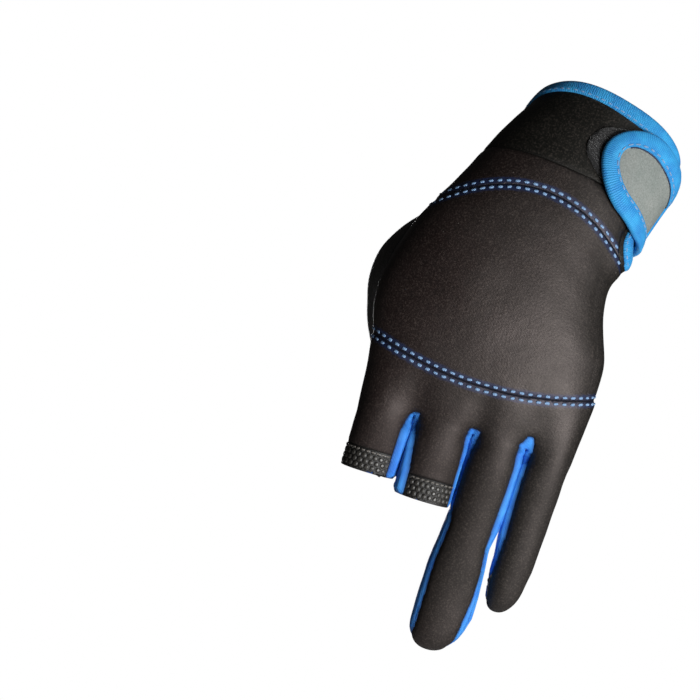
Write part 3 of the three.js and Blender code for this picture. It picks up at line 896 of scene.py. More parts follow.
def neoprene(name, red, olive, deep, gloss, shine):
    """Jersey-faced neoprene: near black with a broad soft gloss, browner to the thumb's side, speckled by
    its fine knit, with painted shade along its seams, and more matt on the fingers. gloss is the tint of
    what it reflects, and shine is how much."""
    n = Nodes(name)
    at = n.place()
    weave = knit(n, at, 0.75)
    cloudy = n.noise(at, 0.045, 3.0, 0.55)
    fine = n.noise(at, 1.35, 2.0, 0.75)
    patchy = n.noise(at, 0.3, 3.0, 0.6)
    x, _, z = n.add("ShaderNodeSeparateXYZ", {0: at}).outputs
    tone = n.ramp(n.math("ADD", x, n.math("MULTIPLY", cloudy, 50.0)), -25, 30)
    colour = n.mix(tone, red, olive)
    colour = n.lay(colour, n.ramp(fine, 0.5, 0.72), 0.2, srgb(112, 102, 95))
    colour = n.lay(colour, n.ramp(fine, 0.48, 0.3), 0.7, deep)
    colour = n.lay(colour, n.ramp(patchy, 0.5, 0.3), 0.4, deep)
    lint = n.add("ShaderNodeTexVoronoi", {"Vector": at, "Scale": 0.16, "Randomness": 1.0})
    speck = n.math("MULTIPLY", n.ramp(lint.outputs["Distance"], 0.045, 0.02), n.ramp(fine, 0.45, 0.6))
    colour = n.lay(colour, speck, 0.4, srgb(130, 126, 120))
    colour = n.lay(colour, n.value("strip"), 0.85, srgb(14, 32, 66))
    # Painted shade: the panel's edges darken towards black, standing for the shade in the seam grooves
    colour = n.lay(colour, n.value("seam"), 0.9, srgb(5, 5, 5))
    normal = n.bump(n.math("ADD", fine, n.math("MULTIPLY", weave, 0.1)), 0.09, n.bump(patchy, 0.12))
    matt = n.math("MULTIPLY", n.ramp(z, -118, -150), 0.2)
    rough = n.math("ADD", n.math("ADD", n.ramp(cloudy, -1.0, 2.6), 0.1), matt)
    n.shader.inputs["Specular Tint"].default_value = gloss
    return n.finish(colour, rough, normal, specular=shine)


def lining(name):
    n = Nodes(name)
    at = n.place()
    weave = knit(n, at, 1.0)
    colour = n.mix(n.ramp(weave, -0.6, 1), srgb(20, 20, 21), srgb(44, 44, 46))
    return n.finish(colour, 0.9, n.bump(weave, 0.08), sheen=0.2, specular=0.2)


def leather(name):
    """Matt synthetic leather with a fine pebbled grain and painted shade along its seams."""
    n = Nodes(name)
    at = n.place()
    cells = n.add("ShaderNodeTexVoronoi", {"Vector": at, "Scale": 1.1}, feature="SMOOTH_F1")
    pebble = cells.outputs["Distance"]
    cloudy = n.noise(at, 0.04, 3.0)
    colour = n.mix(n.ramp(cloudy, 0.3, 0.7), srgb(33, 30, 29), srgb(48, 45, 43))
    colour = n.lay(colour, n.ramp(pebble, 0.3, 0.8), 0.5, srgb(16, 15, 15))
    # Painted shade: near black along the panel's edges, standing for the shade in the seams
    colour = n.lay(colour, n.value("seam"), 0.8, srgb(8, 8, 8))
    normal = n.bump(n.math("MULTIPLY", pebble, -1.0), 0.16, n.bump(n.noise(at, 0.35, 3.0), 0.2))
    rough = n.math("ADD", n.math("MULTIPLY", n.noise(at, 0.5), 0.2), 0.42)
    return n.finish(colour, rough, normal, specular=0.45)


def stretch_cloth(name, deep, bright):
    """The smooth blue stretch cloth of the gussets, with painted highlights on its knit and painted shade
    along its seams.
    """
    n = Nodes(name)
    at = n.place()
    weave = knit(n, at, 0.7)
    cloudy = n.noise(at, 0.12, 2.0)
    colour = n.mix(n.ramp(cloudy, 0.3, 0.7), deep, bright)
    # Painted highlight: the knit's ribs are lightened to a pale cyan, standing for the sheen of the lit
    # cloth
    colour = n.lay(colour, n.ramp(weave, -0.3, 1), 0.35, srgb(120, 192, 240))
    # Painted shade: deep blue along the gusset's edges, standing for the shade in the creases between the
    # fingers
    colour = n.lay(colour, n.value("seam"), 0.75, srgb(4, 10, 70))
    return n.finish(colour, 0.6, n.bump(weave, 0.06), sheen=0.05, specular=0.3)


def emboss(name):
    """The bands' leather: glossy rounded hexagons with dark grooves between them."""
    n = Nodes(name)
    at = n.place()
    raised = n.value("raised")
    grain = n.noise(at, 1.6, 3.0, 0.65)
    face = n.mix(n.ramp(grain, 0.35, 0.65), srgb(34, 32, 30), srgb(60, 58, 54))
    colour = n.mix(n.ramp(raised, 0.05, 0.45), srgb(7, 6, 6), face)
    colour = n.lay(colour, n.ramp(grain, 0.58, 0.8), 0.4, srgb(96, 92, 86))
    rough = n.math("SUBTRACT", 0.55, n.math("MULTIPLY", raised, 0.17))
    return n.finish(colour, rough, n.bump(grain, 0.06), specular=0.5)


def tape(name, deep, bright):
    """Ribbed binding tape with painted highlights on its ribs. Its UV runs along the tape and across it, in
    metres.
    """
    n = Nodes(name)
    uv = n.add("ShaderNodeSeparateXYZ", {0: n.add("ShaderNodeUVMap").outputs[0]})
    along = n.math("MULTIPLY", uv.outputs[0], 1000 * 2 * math.pi / 0.8)
    across = n.math("MULTIPLY", uv.outputs[1], 1000 * 2 * math.pi / 1.1)
    ribs = n.math("SINE", n.math("ADD", along, n.math("MULTIPLY", n.math("SINE", across), 0.7)))
    cloudy = n.noise(n.place(), 0.2, 3.0)
    colour = n.mix(n.ramp(cloudy, 0.3, 0.75), deep, bright)
    # Painted highlight: the ribs are lightened to a pale blue, standing for the light caught on their tops
    colour = n.lay(colour, n.ramp(ribs, 0, 1), 0.3, srgb(100, 190, 240))
    return n.finish(colour, 0.6, n.bump(ribs, 0.07), sheen=0.05, specular=0.3)


def thread(name, colour, light):
    n = Nodes(name)
    at = n.place()
    inputs = {"Vector": at, "Scale": 0.9, "Distortion": 1.5}
    twist = n.add("ShaderNodeTexWave", inputs, bands_direction="DIAGONAL")
    shade = n.mix(twist.outputs["Fac"], colour, light)
    return n.finish(shade, 0.45, n.bump(twist.outputs["Fac"], 0.08), sheen=0.1, specular=0.5)


def satin(name):
    """The strap's face: dark satin-faced cloth, its shine painted in as a pale grey colour, with a fine
    speckled grain.
    """
    n = Nodes(name)
    at = n.place()
    cloudy = n.noise(at, 0.06, 4.0, 0.6)
    grain = n.noise(at, 1.5, 3.0, 0.75)
    # Painted sheen: the pale greys stand for the satin shine of the dark strap face; the specks are its
    # grain
    colour = n.mix(n.ramp(cloudy, 0.35, 0.65), srgb(122, 129, 125), srgb(138, 142, 138))
    colour = n.lay(colour, n.ramp(grain, 0.52, 0.3), 0.6, srgb(86, 90, 87))
    colour = n.lay(colour, n.ramp(grain, 0.55, 0.8), 0.5, srgb(172, 175, 171))
    return n.finish(colour, 0.55, n.bump(grain, 0.07), specular=0.35)


def pile(name):
    """Black loop pile."""
    n = Nodes(name)
    at = n.place()
    tufts = n.add("ShaderNodeTexVoronoi", {"Vector": at, "Scale": 1.3}).outputs["Distance"]
    grain = n.noise(at, 2.5, 3.0, 0.7)
    colour = n.mix(n.ramp(tufts, 0.1, 0.6), srgb(38, 38, 39), srgb(12, 12, 12))
    colour = n.lay(colour, n.ramp(grain, 0.5, 0.8), 0.4, srgb(70, 70, 72))
    return n.finish(colour, 0.95, n.bump(n.math("ADD", tufts, grain), 0.4), sheen=0.5, specular=0.2)


WARM_GLOSS, PLAIN_GLOSS = (1, 0.87, 0.83, 1), (1, 0.98, 0.92, 1)
CUFF_BLACK = srgb(13, 13, 11)
MATERIALS = {
    "back": neoprene("back_neoprene", srgb(24, 15, 14), srgb(20, 20, 18), srgb(5, 4, 4), WARM_GLOSS, 0.5),
    "cuff": neoprene("cuff_neoprene", CUFF_BLACK, CUFF_BLACK, srgb(4, 4, 3), PLAIN_GLOSS, 0.25),
    "lining": lining("lining"),
    "leather": leather("grip_leather"),
    "emboss": emboss("embossed_leather"),
    "gusset": stretch_cloth("gusset_cloth", srgb(16, 104, 214), srgb(52, 142, 230)),
    "tape": tape("binding_tape", srgb(24, 120, 190), srgb(44, 156, 214)),
    "thread": thread("light_blue_thread", srgb(84, 124, 170), srgb(146, 178, 212)),
    "grey": thread("grey_thread", srgb(84, 80, 76), srgb(132, 126, 120)),
    # Painted shadow: the colour of the dark dashes along the strap tape's upper edge
    "dark": thread("tape_shadow_dark", srgb(10, 22, 52), srgb(20, 40, 80)),
    "satin": satin("strap_face"),
    "pile": pile("loop_pile"),
}


# The panels

BACK, LEATHER = ("back", "back_neoprene"), ("leather", "grip_leather")
SLOTS = {
    "cuff": ("cuff", "cuff_neoprene"), "back_wrist": BACK, "back_hand": BACK, "back_fingers": BACK,
    "palm": LEATHER, "thumb": LEATHER, **{name: ("gusset", "gusset_cloth") for name in GUSSETS},
}
SEAM_DIP = 0.38
SEAM_ROUND = 1.3
# How wide the painted shade along each seam is, in millimetres
SEAM_SHADE = 0.7
GUSSET_SWELL = 0.3
GUSSET_CLEAR = -0.1
GUSSET_REACH = 1.7
TOUCH_UNTIL = [60, 32, 40]
PARTS = {"cuff": ("cuff", "cuff_edge")}


def edge_profile(p, local):
    """How far each vertex lies from the edge of its panel."""
    return np.array([away for _, away in find_nearest(p, p[np.unique(boundary_edges(local))])])


def gusset_swell(p, n, pair):
    """How far a gusset stands out, so that two fingers that lie together touch."""
    left, right = FINGER[pair], FINGER[pair + 1]
    level = level_of(p)
    x0 = finger_course(left, level)[0] + finger_sides(pair, level)[1]
    x1 = finger_course(right, level)[0] - finger_sides(pair + 1, level)[0]
    away = np.abs(p[:, 0] - (x0 + x1) / 2) - GUSSET_CLEAR
    facing = np.abs(n[:, 0])
    room = np.clip(away / np.maximum(facing, 0.4), 0, GUSSET_REACH) * smooth_step(0.45, 0.8, facing)
    touching = 1 - smooth_step(TOUCH_UNTIL[pair] - 8, TOUCH_UNTIL[pair] + 8, level)
    return GUSSET_SWELL + (np.maximum(room, GUSSET_SWELL) - GUSSET_SWELL) * touching


def make_panel(name, skin, fields):
    p, n, local, used = part_of(skin, *PARTS.get(name, (name,)))
    away = edge_profile(p, local)
    dip = np.exp(-((away / SEAM_ROUND) ** 2))
    top = -SEAM_DIP * dip
    if name.startswith("gusset"):
        top = top + gusset_swell(p, n, GUSSETS.index(name)) * (1 - dip)
    made, faces = shell(p, n, local, top, np.full(len(p), -WALL))
    thing = mesh_object(name + "_cloth", made, faces)
    strip, seam = np.zeros(len(made)), np.zeros(len(made))
    if name.startswith("back"):
        near = np.minimum(np.abs(fields["wrist"][used]), np.abs(fields["knuckle"][used]))
        strip[:len(used)] = 1 - smooth_step(2.3, 2.9, near)
    # Painted shade: how strongly each vertex darkens near its panel's edge, standing for the shade in the
    # seam
    seam[:len(used)] = np.exp(-((away / SEAM_SHADE) ** 2))
    add_value(thing, "strip", strip)
    add_value(thing, "seam", seam)
    material, slot = SLOTS[name]
    dress(thing, [MATERIALS[material], MATERIALS["lining"]], slot, name)
    line_from(thing, len(local))


def line_from(thing, count):
    """Gives the lining's material to every face but the first ones, which are the outer face."""
    index = np.ones(len(thing.data.polygons), np.int32)
    index[:count] = 0
    thing.data.polygons.foreach_set("material_index", index)


# The embossed bands at the cut ends

HEXAGON = 2.5
EMBOSS = 0.4
BAND_STITCH_IN = 0.9


def hexagon_height(u, v):
    """1 on a hexagon's face and 0 in the groove round it, for a honeycomb in millimetres."""
    row = HEXAGON * math.sqrt(3) / 2
    best = np.full(u.shape, 1e3)
    second = best.copy()
    base_row, base = np.round(v / row), np.round(u / HEXAGON)
    for i in (-1, 0, 1):
        for j in (-1, 0, 1):
            r = base_row + i
            cu = (base + j) * HEXAGON + (r % 2) * HEXAGON / 2
            d = np.hypot(u - cu, v - r * row)
            second = np.where(d < best, best, np.minimum(second, d))
            best = np.minimum(best, d)
    return smooth_step(0.04, 0.75, (second - best) / 2)


def divide(p, n, local):
    """Cuts every quad in four."""
    count = len(p)
    edges = np.stack([local, np.roll(local, -1, axis=1)], -1).reshape(-1, 2)
    edges, back = np.unique(np.sort(edges, axis=1), axis=0, return_inverse=True)
    mid = back.reshape(local.shape) + count
    centre = np.arange(len(local)) + count + len(edges)
    points = np.concatenate([p, p[edges].mean(1), p[local].mean(1)])
    normals = unit(np.concatenate([n, n[edges].mean(1), n[local].mean(1)]))
    quads = [np.stack([local[:, k], mid[:, k], centre, mid[:, k - 1]], 1) for k in range(4)]
    return points, normals, np.concatenate(quads)


def band_place(p, name):
    """Where a band's points lie round the finger and along it."""
    if name == "thumb_band":
        _, a, b, _, _ = THUMB.locate(p)
        return np.arctan2(b, -a) * THUMB_WIDTH * 0.46, thumb_end_height(p)
    finger = FINGER[0 if name == "index_band" else 1]
    level = level_of(p)
    x, y = finger_course(finger, level)
    a, b = p[:, 0] - x, -(p[:, 1] - y)
    facing = {"index_band": np.arctan2(b, -a), "middle_band_back": np.arctan2(a, b),
              "middle_band_palm": np.arctan2(a, -b)}[name]
    return facing * (finger["half"] + finger["deep"]) / 2, finger["length"] - level


def make_band(name, skin):
    p, n, local, _ = part_of(skin, name)
    for _ in range(2):
        p, n, local = divide(p, n, local)
    u, v = band_place(p, name)
    away = edge_profile(p, local)
    flat = smooth_step(0.3, 1.1, away)
    edge_row = smooth_step(0.3, 0.8, np.minimum(v, BAND_WIDTH - v))
    height = EMBOSS * (hexagon_height(u, v) - 1) * flat * edge_row - 0.3 * np.exp(-((away / 0.6) ** 2))
    made, faces = shell(p, n, local, height, np.full(len(p), -WALL))
    thing = mesh_object(name + "_grip", made, faces)
    lift = np.zeros(len(made))
    lift[:len(p)] = hexagon_height(u, v) * flat
    add_value(thing, "raised", lift)
    dress(thing, [MATERIALS["emboss"], MATERIALS["lining"]], "grip_leather", name)
    line_from(thing, len(local))


# Lines along the skin, and stitches on them

def trace(skin, values, level, names):
    """The line where a field of the skin has some level, as chains of points with their normals."""
    points, quads, panel, normals = skin
    mine = quads[np.isin(panel, [PANELS.index(name) for name in names])]
    pairs = np.stack([mine, np.roll(mine, -1, axis=1)], -1).reshape(-1, 2)
    edges, number = np.unique(np.sort(pairs, axis=1), axis=0, return_inverse=True)
    number = number.reshape(mine.shape)
    value = values[edges] - level
    crossed = (value[:, 0] < 0) != (value[:, 1] < 0)
    share = (value[:, 0] / np.where(crossed, value[:, 0] - value[:, 1], 1))[:, None]
    at = points[edges[:, 0]] * (1 - share) + points[edges[:, 1]] * share
    up = unit(normals[edges[:, 0]] * (1 - share) + normals[edges[:, 1]] * share)
    links = {}
    hit = crossed[number]
    for row in np.flatnonzero(hit.sum(1) == 2):
        a, b = number[row][hit[row]]
        links.setdefault(a, []).append(b)
        links.setdefault(b, []).append(a)
    chains, seen = [], set()
    for start in sorted(links, key=lambda e: len(links[e])):
        if start in seen:
            continue
        chain, here = [], start
        while here is not None:
            seen.add(here)
            chain.append(here)
            here = next((e for e in links[here] if e not in seen), None)
        if len(chain) > 8:
            chains.append((at[chain], up[chain]))
    return chains


def even_out(chain, rounds=6):
    p, n = chain[0].copy(), chain[1].copy()
    for _ in range(rounds):
        p[1:-1] = (p[:-2] + 2 * p[1:-1] + p[2:]) / 4
        n[1:-1] = (n[:-2] + 2 * n[1:-1] + n[2:]) / 4
    return p, unit(n)


def dash_shape():
    """A small rounded bar, one unit long, wide and high."""
    ring = [(math.cos(t), math.sin(t)) for t in np.linspace(0, 2 * math.pi, 8, endpoint=False)]
    rows = [(-0.5, 0.3), (-0.42, 0.75), (-0.25, 1), (0.25, 1), (0.42, 0.75), (0.5, 0.3)]
    points = [(x, 0.5 * r * c, 0.5 * r * s) for x, r in rows for c, s in ring]
    faces = [(8 * i + k, 8 * i + (k + 1) % 8, 8 * i + 8 + (k + 1) % 8, 8 * i + 8 + k)
             for i in range(5) for k in range(8)]
    caps = [(1, 0, 7, 2), (2, 7, 6, 3), (3, 6, 5, 4), (40, 41, 42, 47), (47, 42, 43, 46), (46, 43, 44, 45)]
    return np.array(points), np.array(faces + caps)


def dashes(chains, pitch, size, raise_by, shift=0.0):
    """Stitches along chains: size is their length, width and height."""
    shape, quads = dash_shape()
    points, faces, count = [], [], 0
    for chain in chains:
        p, n = even_out(chain)
        run = run_along(p)
        for k, middle in enumerate(np.arange(pitch / 2 + shift, run[-1] - size[0] / 2, pitch)):
            ends = [np.array([np.interp(middle + d, run, p[:, i]) for i in range(3)]) for d in (-0.5, 0.5)]
            normal = unit(np.array([np.interp(middle, run, n[:, i]) for i in range(3)]))
            along = unit(ends[1] - ends[0])
            across = unit(np.cross(normal, along))
            rise = np.cross(along, across)
            swing = 0.08 * math.sin(2.4 * k) + random.normal() * 0.03
            along, across = along + swing * across, across - swing * along
            long = size[0] * (1 + 0.06 * random.normal())
            wide = size[1] * (1 + 0.06 * random.normal())
            bar = shape[:, :1] * long * along + shape[:, 1:2] * wide * across + shape[:, 2:] * size[2] * rise
            points.append((ends[0] + ends[1]) / 2 + normal * raise_by + bar)
            faces.append(quads + count)
            count += len(shape)
    return np.concatenate(points), np.concatenate(faces)


def make_stitches(name, points, faces, material="thread", slot="binding_tape"):
    dress(mesh_object(name, points, faces), MATERIALS[material], slot)


def band_stitches(skin, fields):
    """The pale stitched row along the upper edge of each band."""
    rows = trace(skin, fields["finger_band"], -BAND_STITCH_IN, BANDS)
    rows += trace(skin, fields["thumb_band"], -BAND_STITCH_IN, ["thumb_band"])
    stitches = dashes(rows, BAND_STITCH_PITCH, BAND_STITCH, 0.05)
    make_stitches("band_stitches", *stitches, "grey", "grip_leather")


def seam_stitches(skin, fields):
    """The double rows of stitches across the back."""
    for key, names in (("wrist", ("back_wrist", "back_hand")), ("knuckle", ("back_hand", "back_fingers"))):
        rows = []
        for level, shift in ((STITCH_ROWS, 0), (-STITCH_ROWS, 0.35)):
            chains = trace(skin, fields[key], level, names)
            chains = [c if c[0][0, 0] < c[0][-1, 0] else (c[0][::-1], c[1][::-1]) for c in chains]
            rows.append(dashes(chains, STITCH_PITCH, STITCH, 0.0, shift))
        (upper, upper_faces), (lower, lower_faces) = rows
        faces = np.concatenate([upper_faces, lower_faces + len(upper)])
        make_stitches(key + "_stitches", np.concatenate([upper, lower]), faces)


# The binding of the cuff

TAPE_RISE = 0.85


def make_cuff_binding(skin, fields):
    p, n, local, used = part_of(skin, "cuff_edge")
    depth = -fields["mouth"][used]
    width = binding_width(p)
    lift = TAPE_RISE * smooth_step(-0.1, 1.1, width - depth) + 0.1
    lift = lift + 0.12 * np.sin(math.pi * np.clip(depth / width, 0, 1))
    at_mouth = depth < 0.6
    bulge = np.where(at_mouth, WALL / 2 + TAPE_RISE, 0.0)
    made, faces = shell(p, n, local, lift, -WALL - lift, bulge, rows=7)
    chains = [even_out(c) for c in trace(skin, fields["mouth"], -BINDING_WIDTH / 2, ("cuff_edge",))]
    uv = tape_place(made, chains)
    thing = mesh_object("cuff_binding_tape", made, faces, uv)
    dress(thing, MATERIALS["tape"], "binding_tape", "cuff_binding")
    rows = trace(skin, fields["binding"], -1.0, ("cuff_edge",))
    stitches = dashes(rows, CUFF_STITCH_PITCH, CUFF_STITCH, TAPE_RISE * 0.97)
    make_stitches("cuff_binding_stitches", *stitches)


def tape_place(points, chains):
    """How far along the nearest chain each point is, and how far from it."""
    line = np.concatenate([c[0] for c in chains])
    run, total = [], 0.0
    for c in chains:
        steps = run_along(c[0])
        run.append(total + steps)
        total += steps[-1]
    run = np.concatenate(run)
    return np.array([(run[i], away) for i, away in find_nearest(points, line)])


# The strap, drawn flat with t along it and w across it, then wrapped round the cuff

FLAT_RADIUS = 0.43 * OPENING_WIDTH
STRAP_LENGTH = math.radians(STRAP_ROOT_ANGLE - STRAP_TIP_ANGLE) * FLAT_RADIUS
TIP_RADIUS = STRAP_WIDTH / 2
STRAP_UNDER, STRAP_TOP = 2.1, 2.1 + STRAP_THICKNESS
UPPER_TAPE = 1.3
ROOT_TAPE, ROOT_TAPE_ANGLE = 4.4, -3
# How much of the strap's upper edge, from its root, gets the painted shadow dashes
SHADOW_DASH_SHARE = 0.47


def on_cuff(drop, angle, offset):
    row = OPENING_ROW * (1 + drop / CUFF_ROW)
    return HAND.point(row, np.radians(angle), offset + flare(HAND.point(row, np.radians(angle), 0)))


def on_strap(t, w, height):
    share = t / STRAP_LENGTH
    drop = STRAP_ROOT_DROP + (STRAP_TIP_DROP - STRAP_ROOT_DROP) * share + w
    angle = STRAP_ROOT_ANGLE + (STRAP_TIP_ANGLE - STRAP_ROOT_ANGLE) * share
    sunk = (STRAP_UNDER - 0.9) * (1 - smooth_step(0, 9, t))
    return on_cuff(drop, angle, height - sunk)


# How much longer the strap is round the tip than when flat
STRETCH_T = np.linspace(0, STRAP_LENGTH, 60)
STRETCH_LINE = on_strap(STRETCH_T, 0 * STRETCH_T, STRAP_TOP)
STRETCH = np.linalg.norm(np.gradient(STRETCH_LINE, STRETCH_T, axis=0), axis=1)
TIP_STRETCH = STRETCH[-12:].mean()


def strap_half(t):
    root = STRAP_ROOT_WIDTH / 2
    return root + (TIP_RADIUS - root) * np.minimum(2 * t / STRAP_LENGTH, 1)


def strap_outline(inset, step=0.6):
    """The strap's edge as points (t, w), from the root's upper corner round the tip to its lower one."""
    straight = STRAP_LENGTH - TIP_RADIUS
    t = np.linspace(0, straight, int(straight / step) + 1)
    arc = np.linspace(-math.pi / 2, math.pi / 2, int(TIP_RADIUS * math.pi / step) + 1)[1:-1]
    upper = np.stack([t, upper_inset(t, inset) - strap_half(t)], 1)
    above = smooth_step(0.3, -1.2, arc)
    across = TIP_RADIUS - inset * (1 + (UPPER_TAPE - 1) * above)
    tip = np.stack([straight + (TIP_RADIUS - inset / TIP_STRETCH) * np.cos(arc), across * np.sin(arc)], 1)
    lower = np.stack([t, strap_half(t) - inset], 1)[::-1]
    return np.concatenate([upper, tip, lower])


def upper_inset(t, inset):
    """The tape is wider along the strap's upper edge."""
    return inset * (1 + (UPPER_TAPE - 1) * smooth_step(6, 20, t))


def swept_tape(outline, section):
    """A tape whose cross-section, as distances in from the edge and heights, is swept along an outline."""
    run, across = run_along(outline), run_along(section)
    count, points, uv = len(section), [], []
    for (v, h), d in zip(section, across):
        spot = strap_outline(v)
        points.append(on_strap(spot[:, 0], spot[:, 1], np.full(len(spot), h)))
        uv.append(np.stack([run, np.full(len(run), d)], 1))
    points, uv = np.stack(points, 1).reshape(-1, 3), np.stack(uv, 1).reshape(-1, 2)
    i = np.arange(len(outline) - 1)[:, None] * count
    k = np.arange(count)[None]
    k2 = (k + 1) % count
    faces = np.stack([i + k, i + k2, i + count + k2, i + count + k], -1).reshape(-1, 4).tolist()
    faces.append(list(range(count))[::-1])
    faces.append([(len(outline) - 1) * count + k for k in range(count)])
    return points, faces, uv


def tape_section():
    """The folded tape's cross-section: over the top, round the edge and back underneath."""
    w, top, under, rise = STRAP_BINDING, STRAP_TOP, STRAP_UNDER, TAPE_RISE
    middle, radius = (top + under) / 2, (top - under) / 2 + rise
    over = [(w, top + 0.05), (w - 0.15, top + 0.6), (w - 0.6, top + rise), (w - 1.1, top + rise - 0.1),
            (w - 1.9, top + rise + 0.25), (w / 2, top + rise + 0.4), (1.6, top + rise + 0.25)]
    roll = [(0.9 - radius * math.sin(a), middle + radius * math.cos(a)) for a in np.linspace(0, math.pi, 9)]
    beneath = [(w / 2, under - rise), (w - 0.9, under - rise), (w, under - 0.05)]
    return np.array(over + roll + beneath)


def grid_sheet(place, nu, nv, top, bottom):
    """A closed sheet over a grid: place(u, v, height) gives points, top(u, v) and bottom(u, v) heights."""
    u, v = np.meshgrid(np.linspace(0, 1, nu + 1), np.linspace(-1, 1, nv + 1), indexing="ij")
    u, v = u.ravel(), v.ravel()
    upper, lower = place(u, v, top(u, v)), place(u, v, bottom(u, v))
    count = len(u)
    i, j = np.meshgrid(np.arange(nu), np.arange(nv), indexing="ij")
    a = (i * (nv + 1) + j).ravel()
    local = np.stack([a, a + 1, a + nv + 2, a + nv + 1], 1)
    rim = boundary_edges(local)
    sides = np.stack([rim[:, 1], rim[:, 0], rim[:, 0] + count, rim[:, 1] + count], 1)
    return np.concatenate([upper, lower]), np.concatenate([local, local[:, ::-1] + count, sides])


def flat_at(height):
    """The flat side of a sheet, for grid_sheet."""
    return lambda u, v: np.full(len(u), height)


def round_end(along, length, radius):
    past = np.maximum(along - (length - radius), 0) / radius
    return np.sqrt(np.maximum(1 - past * past, 0.0025))


def make_strap():
    edge = strap_outline(STRAP_BINDING - 1.2, 0.3)
    tip = int(edge[:, 0].argmax())
    sides = edge[:tip + 1], edge[tip:][::-1]
    reach = edge[tip, 0]

    def place(u, v, height):
        t = (1 - (1 - u) ** 1.6) * reach
        upper, lower = (np.interp(t, side[:, 0], side[:, 1]) for side in sides)
        return on_strap(t, (upper + lower) / 2 + v * (lower - upper) / 2, height)

    crown = lambda u, v: STRAP_TOP + 0.3 * (1 - v * v)
    points, faces = grid_sheet(place, 90, 36, crown, flat_at(STRAP_UNDER))
    dress(mesh_object("strap_face", points, faces), MATERIALS["satin"], "strap_face", "strap")
    points, faces, uv = swept_tape(strap_outline(0), tape_section())
    tape_piece = mesh_object("strap_binding_tape", points, faces, uv)
    dress(tape_piece, MATERIALS["tape"], "binding_tape", "strap_binding")
    make_root_tape()
    row = strap_line(STRAP_BINDING - 1.05, STRAP_TOP + TAPE_RISE)
    make_stitches("strap_stitches", *dashes([row], STRAP_STITCH_PITCH, STRAP_STITCH, 0.0))
    # Painted shadow: dark dashes just inside the tape's upper edge stand for the shadow the tape casts on
    # the face
    upper = strap_line(STRAP_BINDING + 0.15, STRAP_TOP + 0.35)
    count = int(len(upper[0]) * SHADOW_DASH_SHARE)
    groove = dashes([(upper[0][:count], upper[1][:count])], SHADOW_DASH_PITCH, SHADOW_DASH, 0.0)
    make_stitches("strap_tape_shadow", *groove, "dark")


def make_root_tape():
    """The tape across the strap where it goes round the wrist's side."""
    middle = (STRAP_ROOT_ANGLE - ROOT_TAPE_ANGLE) / (STRAP_ROOT_ANGLE - STRAP_TIP_ANGLE) * STRAP_LENGTH

    def place(u, v, height):
        half = strap_half(middle) - 1
        return on_strap(middle + v * ROOT_TAPE / 2, half * (2 * u - 1), height)

    raised = lambda u, v: STRAP_TOP + 0.2 + TAPE_RISE * np.sqrt(1 - 0.98 * v * v)
    points, faces = grid_sheet(place, 40, 10, raised, flat_at(STRAP_TOP - 0.2))
    dress(mesh_object("strap_root_tape", points, faces), MATERIALS["tape"], "binding_tape")


def strap_line(inset, height):
    """A line along the strap's edge, with its normals."""
    line = strap_outline(inset)
    at = on_strap(line[:, 0], line[:, 1], np.full(len(line), height))
    above = on_strap(line[:, 0], line[:, 1], np.full(len(line), height + 1))
    return at, unit(above - at)


# The fastening under the strap's tip

def tufts(u, v, length):
    edge = np.minimum((1 - np.abs(v)) * PATCH_WIDTH / 2, (1 - u) * length)
    return 0.3 + smooth_step(0, 1.4, edge) + random.normal(size=len(u)) * 0.13


def hooks(u, v, length):
    return 1.65 + 0.1 * np.sin(40 * u) * np.sin(24 * v)


def make_pad(name, node, width, drop, angles, cells, top, bottom):
    """A pad of pile along the cuff, square at its start and round at its end."""
    start, end = angles
    length = math.radians(start - end) * FLAT_RADIUS

    def place(u, v, height):
        half = width / 2 * round_end(u * length, length, width / 2)
        return on_cuff(drop + v * half, start + (end - start) * u, height)

    points, faces = grid_sheet(place, *cells, lambda u, v: top(u, v, length), flat_at(bottom))
    dress(mesh_object(name, points, faces), MATERIALS["pile"], "loop_pile", node)


# The camera, the light and the floor

CAMERA_TURN = 17
CAMERA_PLACE = (-0.076, -0.617, -0.1145)
CAMERA_LENS = 75.26
# The lights: name, place in metres, size in metres and power
LIT_PLACE = (-0.02, -0.01, -0.1)
LIGHTS = [
    ("key", (0.52, -0.78, -0.3), 0.45, 12),
    ("upper", (0.6, -0.55, 0.5), 0.4, 2),
    ("behind", (-0.03, 0.9, -0.1), 0.5, 6),
]
SOFT_LIGHT = 0.03
FLOOR_SIZE, FLOOR_LEVEL = 2500, -800


def make_camera():
    c, s = math.cos(math.radians(CAMERA_TURN)), math.sin(math.radians(CAMERA_TURN))
    data = bpy.data.cameras.new("camera")
    data.lens = CAMERA_LENS
    data.sensor_width = 36
    camera = bpy.data.objects.new("camera", data)
    turn = Matrix(((c, -s, 0), (0, 0, -1), (s, c, 0))).to_4x4()
    camera.matrix_world = Matrix.Translation(CAMERA_PLACE) @ turn
    bpy.context.scene.collection.objects.link(camera)
    bpy.context.scene.camera = camera


def make_light(name, place, size, power):
    data = bpy.data.lights.new(name, "AREA")
    data.shape = "DISK"
    data.size = size
    data.energy = power
    light = bpy.data.objects.new(name, data)
    aim = Vector(LIT_PLACE) - Vector(place)
    light.rotation_mode = "QUATERNION"
    light.rotation_quaternion = aim.to_track_quat("-Z", "Y")
    light.location = place
    bpy.context.scene.collection.objects.link(light)


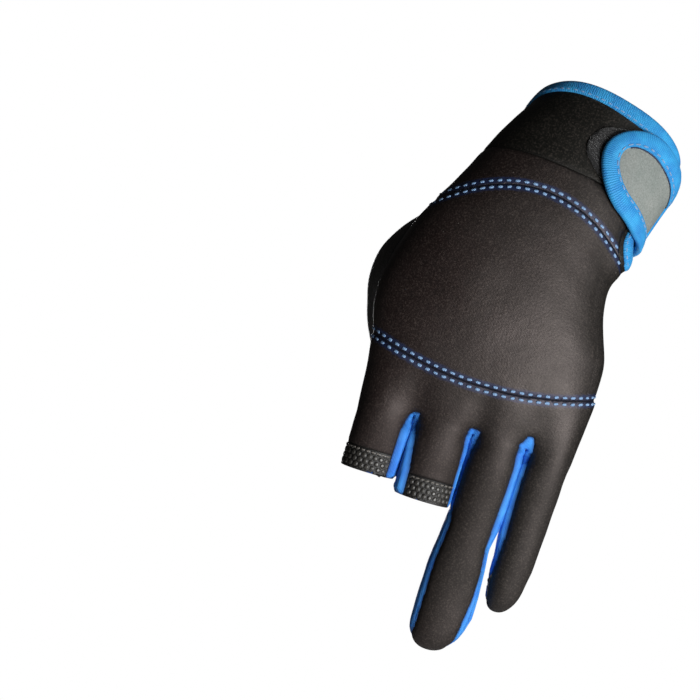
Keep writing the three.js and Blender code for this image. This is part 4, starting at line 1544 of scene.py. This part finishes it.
def make_world():
    """White for the camera, and a little soft light for all else."""
    world = bpy.data.worlds.new("studio")
    bpy.context.scene.world = world
    world.use_nodes = True
    tree = world.node_tree
    tree.nodes.clear()
    path = tree.nodes.new("ShaderNodeLightPath")
    choose = tree.nodes.new("ShaderNodeMixShader")
    out = tree.nodes.new("ShaderNodeOutputWorld")
    tree.links.new(path.outputs["Is Camera Ray"], choose.inputs[0])
    for socket, strength in ((1, SOFT_LIGHT), (2, 1.0)):
        light = tree.nodes.new("ShaderNodeBackground")
        light.inputs["Color"].default_value = (1, 1, 1, 1)
        light.inputs["Strength"].default_value = strength
        tree.links.new(light.outputs[0], choose.inputs[socket])
    tree.links.new(choose.outputs[0], out.inputs[0])


def make_floor():
    """A plain white floor. Only the camera sees its glow, so it lights nothing."""
    n = Nodes("floor")
    n.finish((0.6, 0.6, 0.6, 1), 0.9, n.bump(n.noise(n.place(), 0.01), 0.01), specular=0.1)
    glow = n.add("ShaderNodeEmission", {"Color": (1, 1, 1, 1), "Strength": 1.0})
    seen = n.add("ShaderNodeLightPath").outputs["Is Camera Ray"]
    both = n.add("ShaderNodeMixShader", {0: seen, 1: n.shader.outputs[0], 2: glow.outputs[0]})
    n.tree.links.new(both.outputs[0], n.tree.nodes["Material Output"].inputs[0])
    signs = [(-1, -1), (1, -1), (1, 1), (-1, 1)]
    corners = [(x * FLOOR_SIZE, y * FLOOR_SIZE, FLOOR_LEVEL) for x, y in signs]
    floor = mesh_object("floor", corners, [(0, 1, 2, 3)])
    floor.data.materials.append(n.material)


bpy.context.scene.view_settings.view_transform = "Standard"
make_camera()
make_world()
make_floor()
for light_name, place, size, power in LIGHTS:
    make_light(light_name, place, size, power)

points, quads, panel = build_skin()
skin = (points, quads, panel, vertex_normals(points, quads))
fields = zone_fields(points)
for panel_name in SLOTS:
    make_panel(panel_name, skin, fields)
for band_name in (*BANDS, "thumb_band"):
    make_band(band_name, skin)
seam_stitches(skin, fields)
band_stitches(skin, fields)
make_cuff_binding(skin, fields)
make_strap()
make_pad("loop_patch_pile", "loop_patch", PATCH_WIDTH, PATCH_DROP, PATCH_ANGLES, (110, 70), tufts, 0.1)
make_pad("hook_pad_face", "hook_pad", HOOK_WIDTH, HOOK_DROP, HOOK_ANGLES, (60, 40), hooks, 1.4)
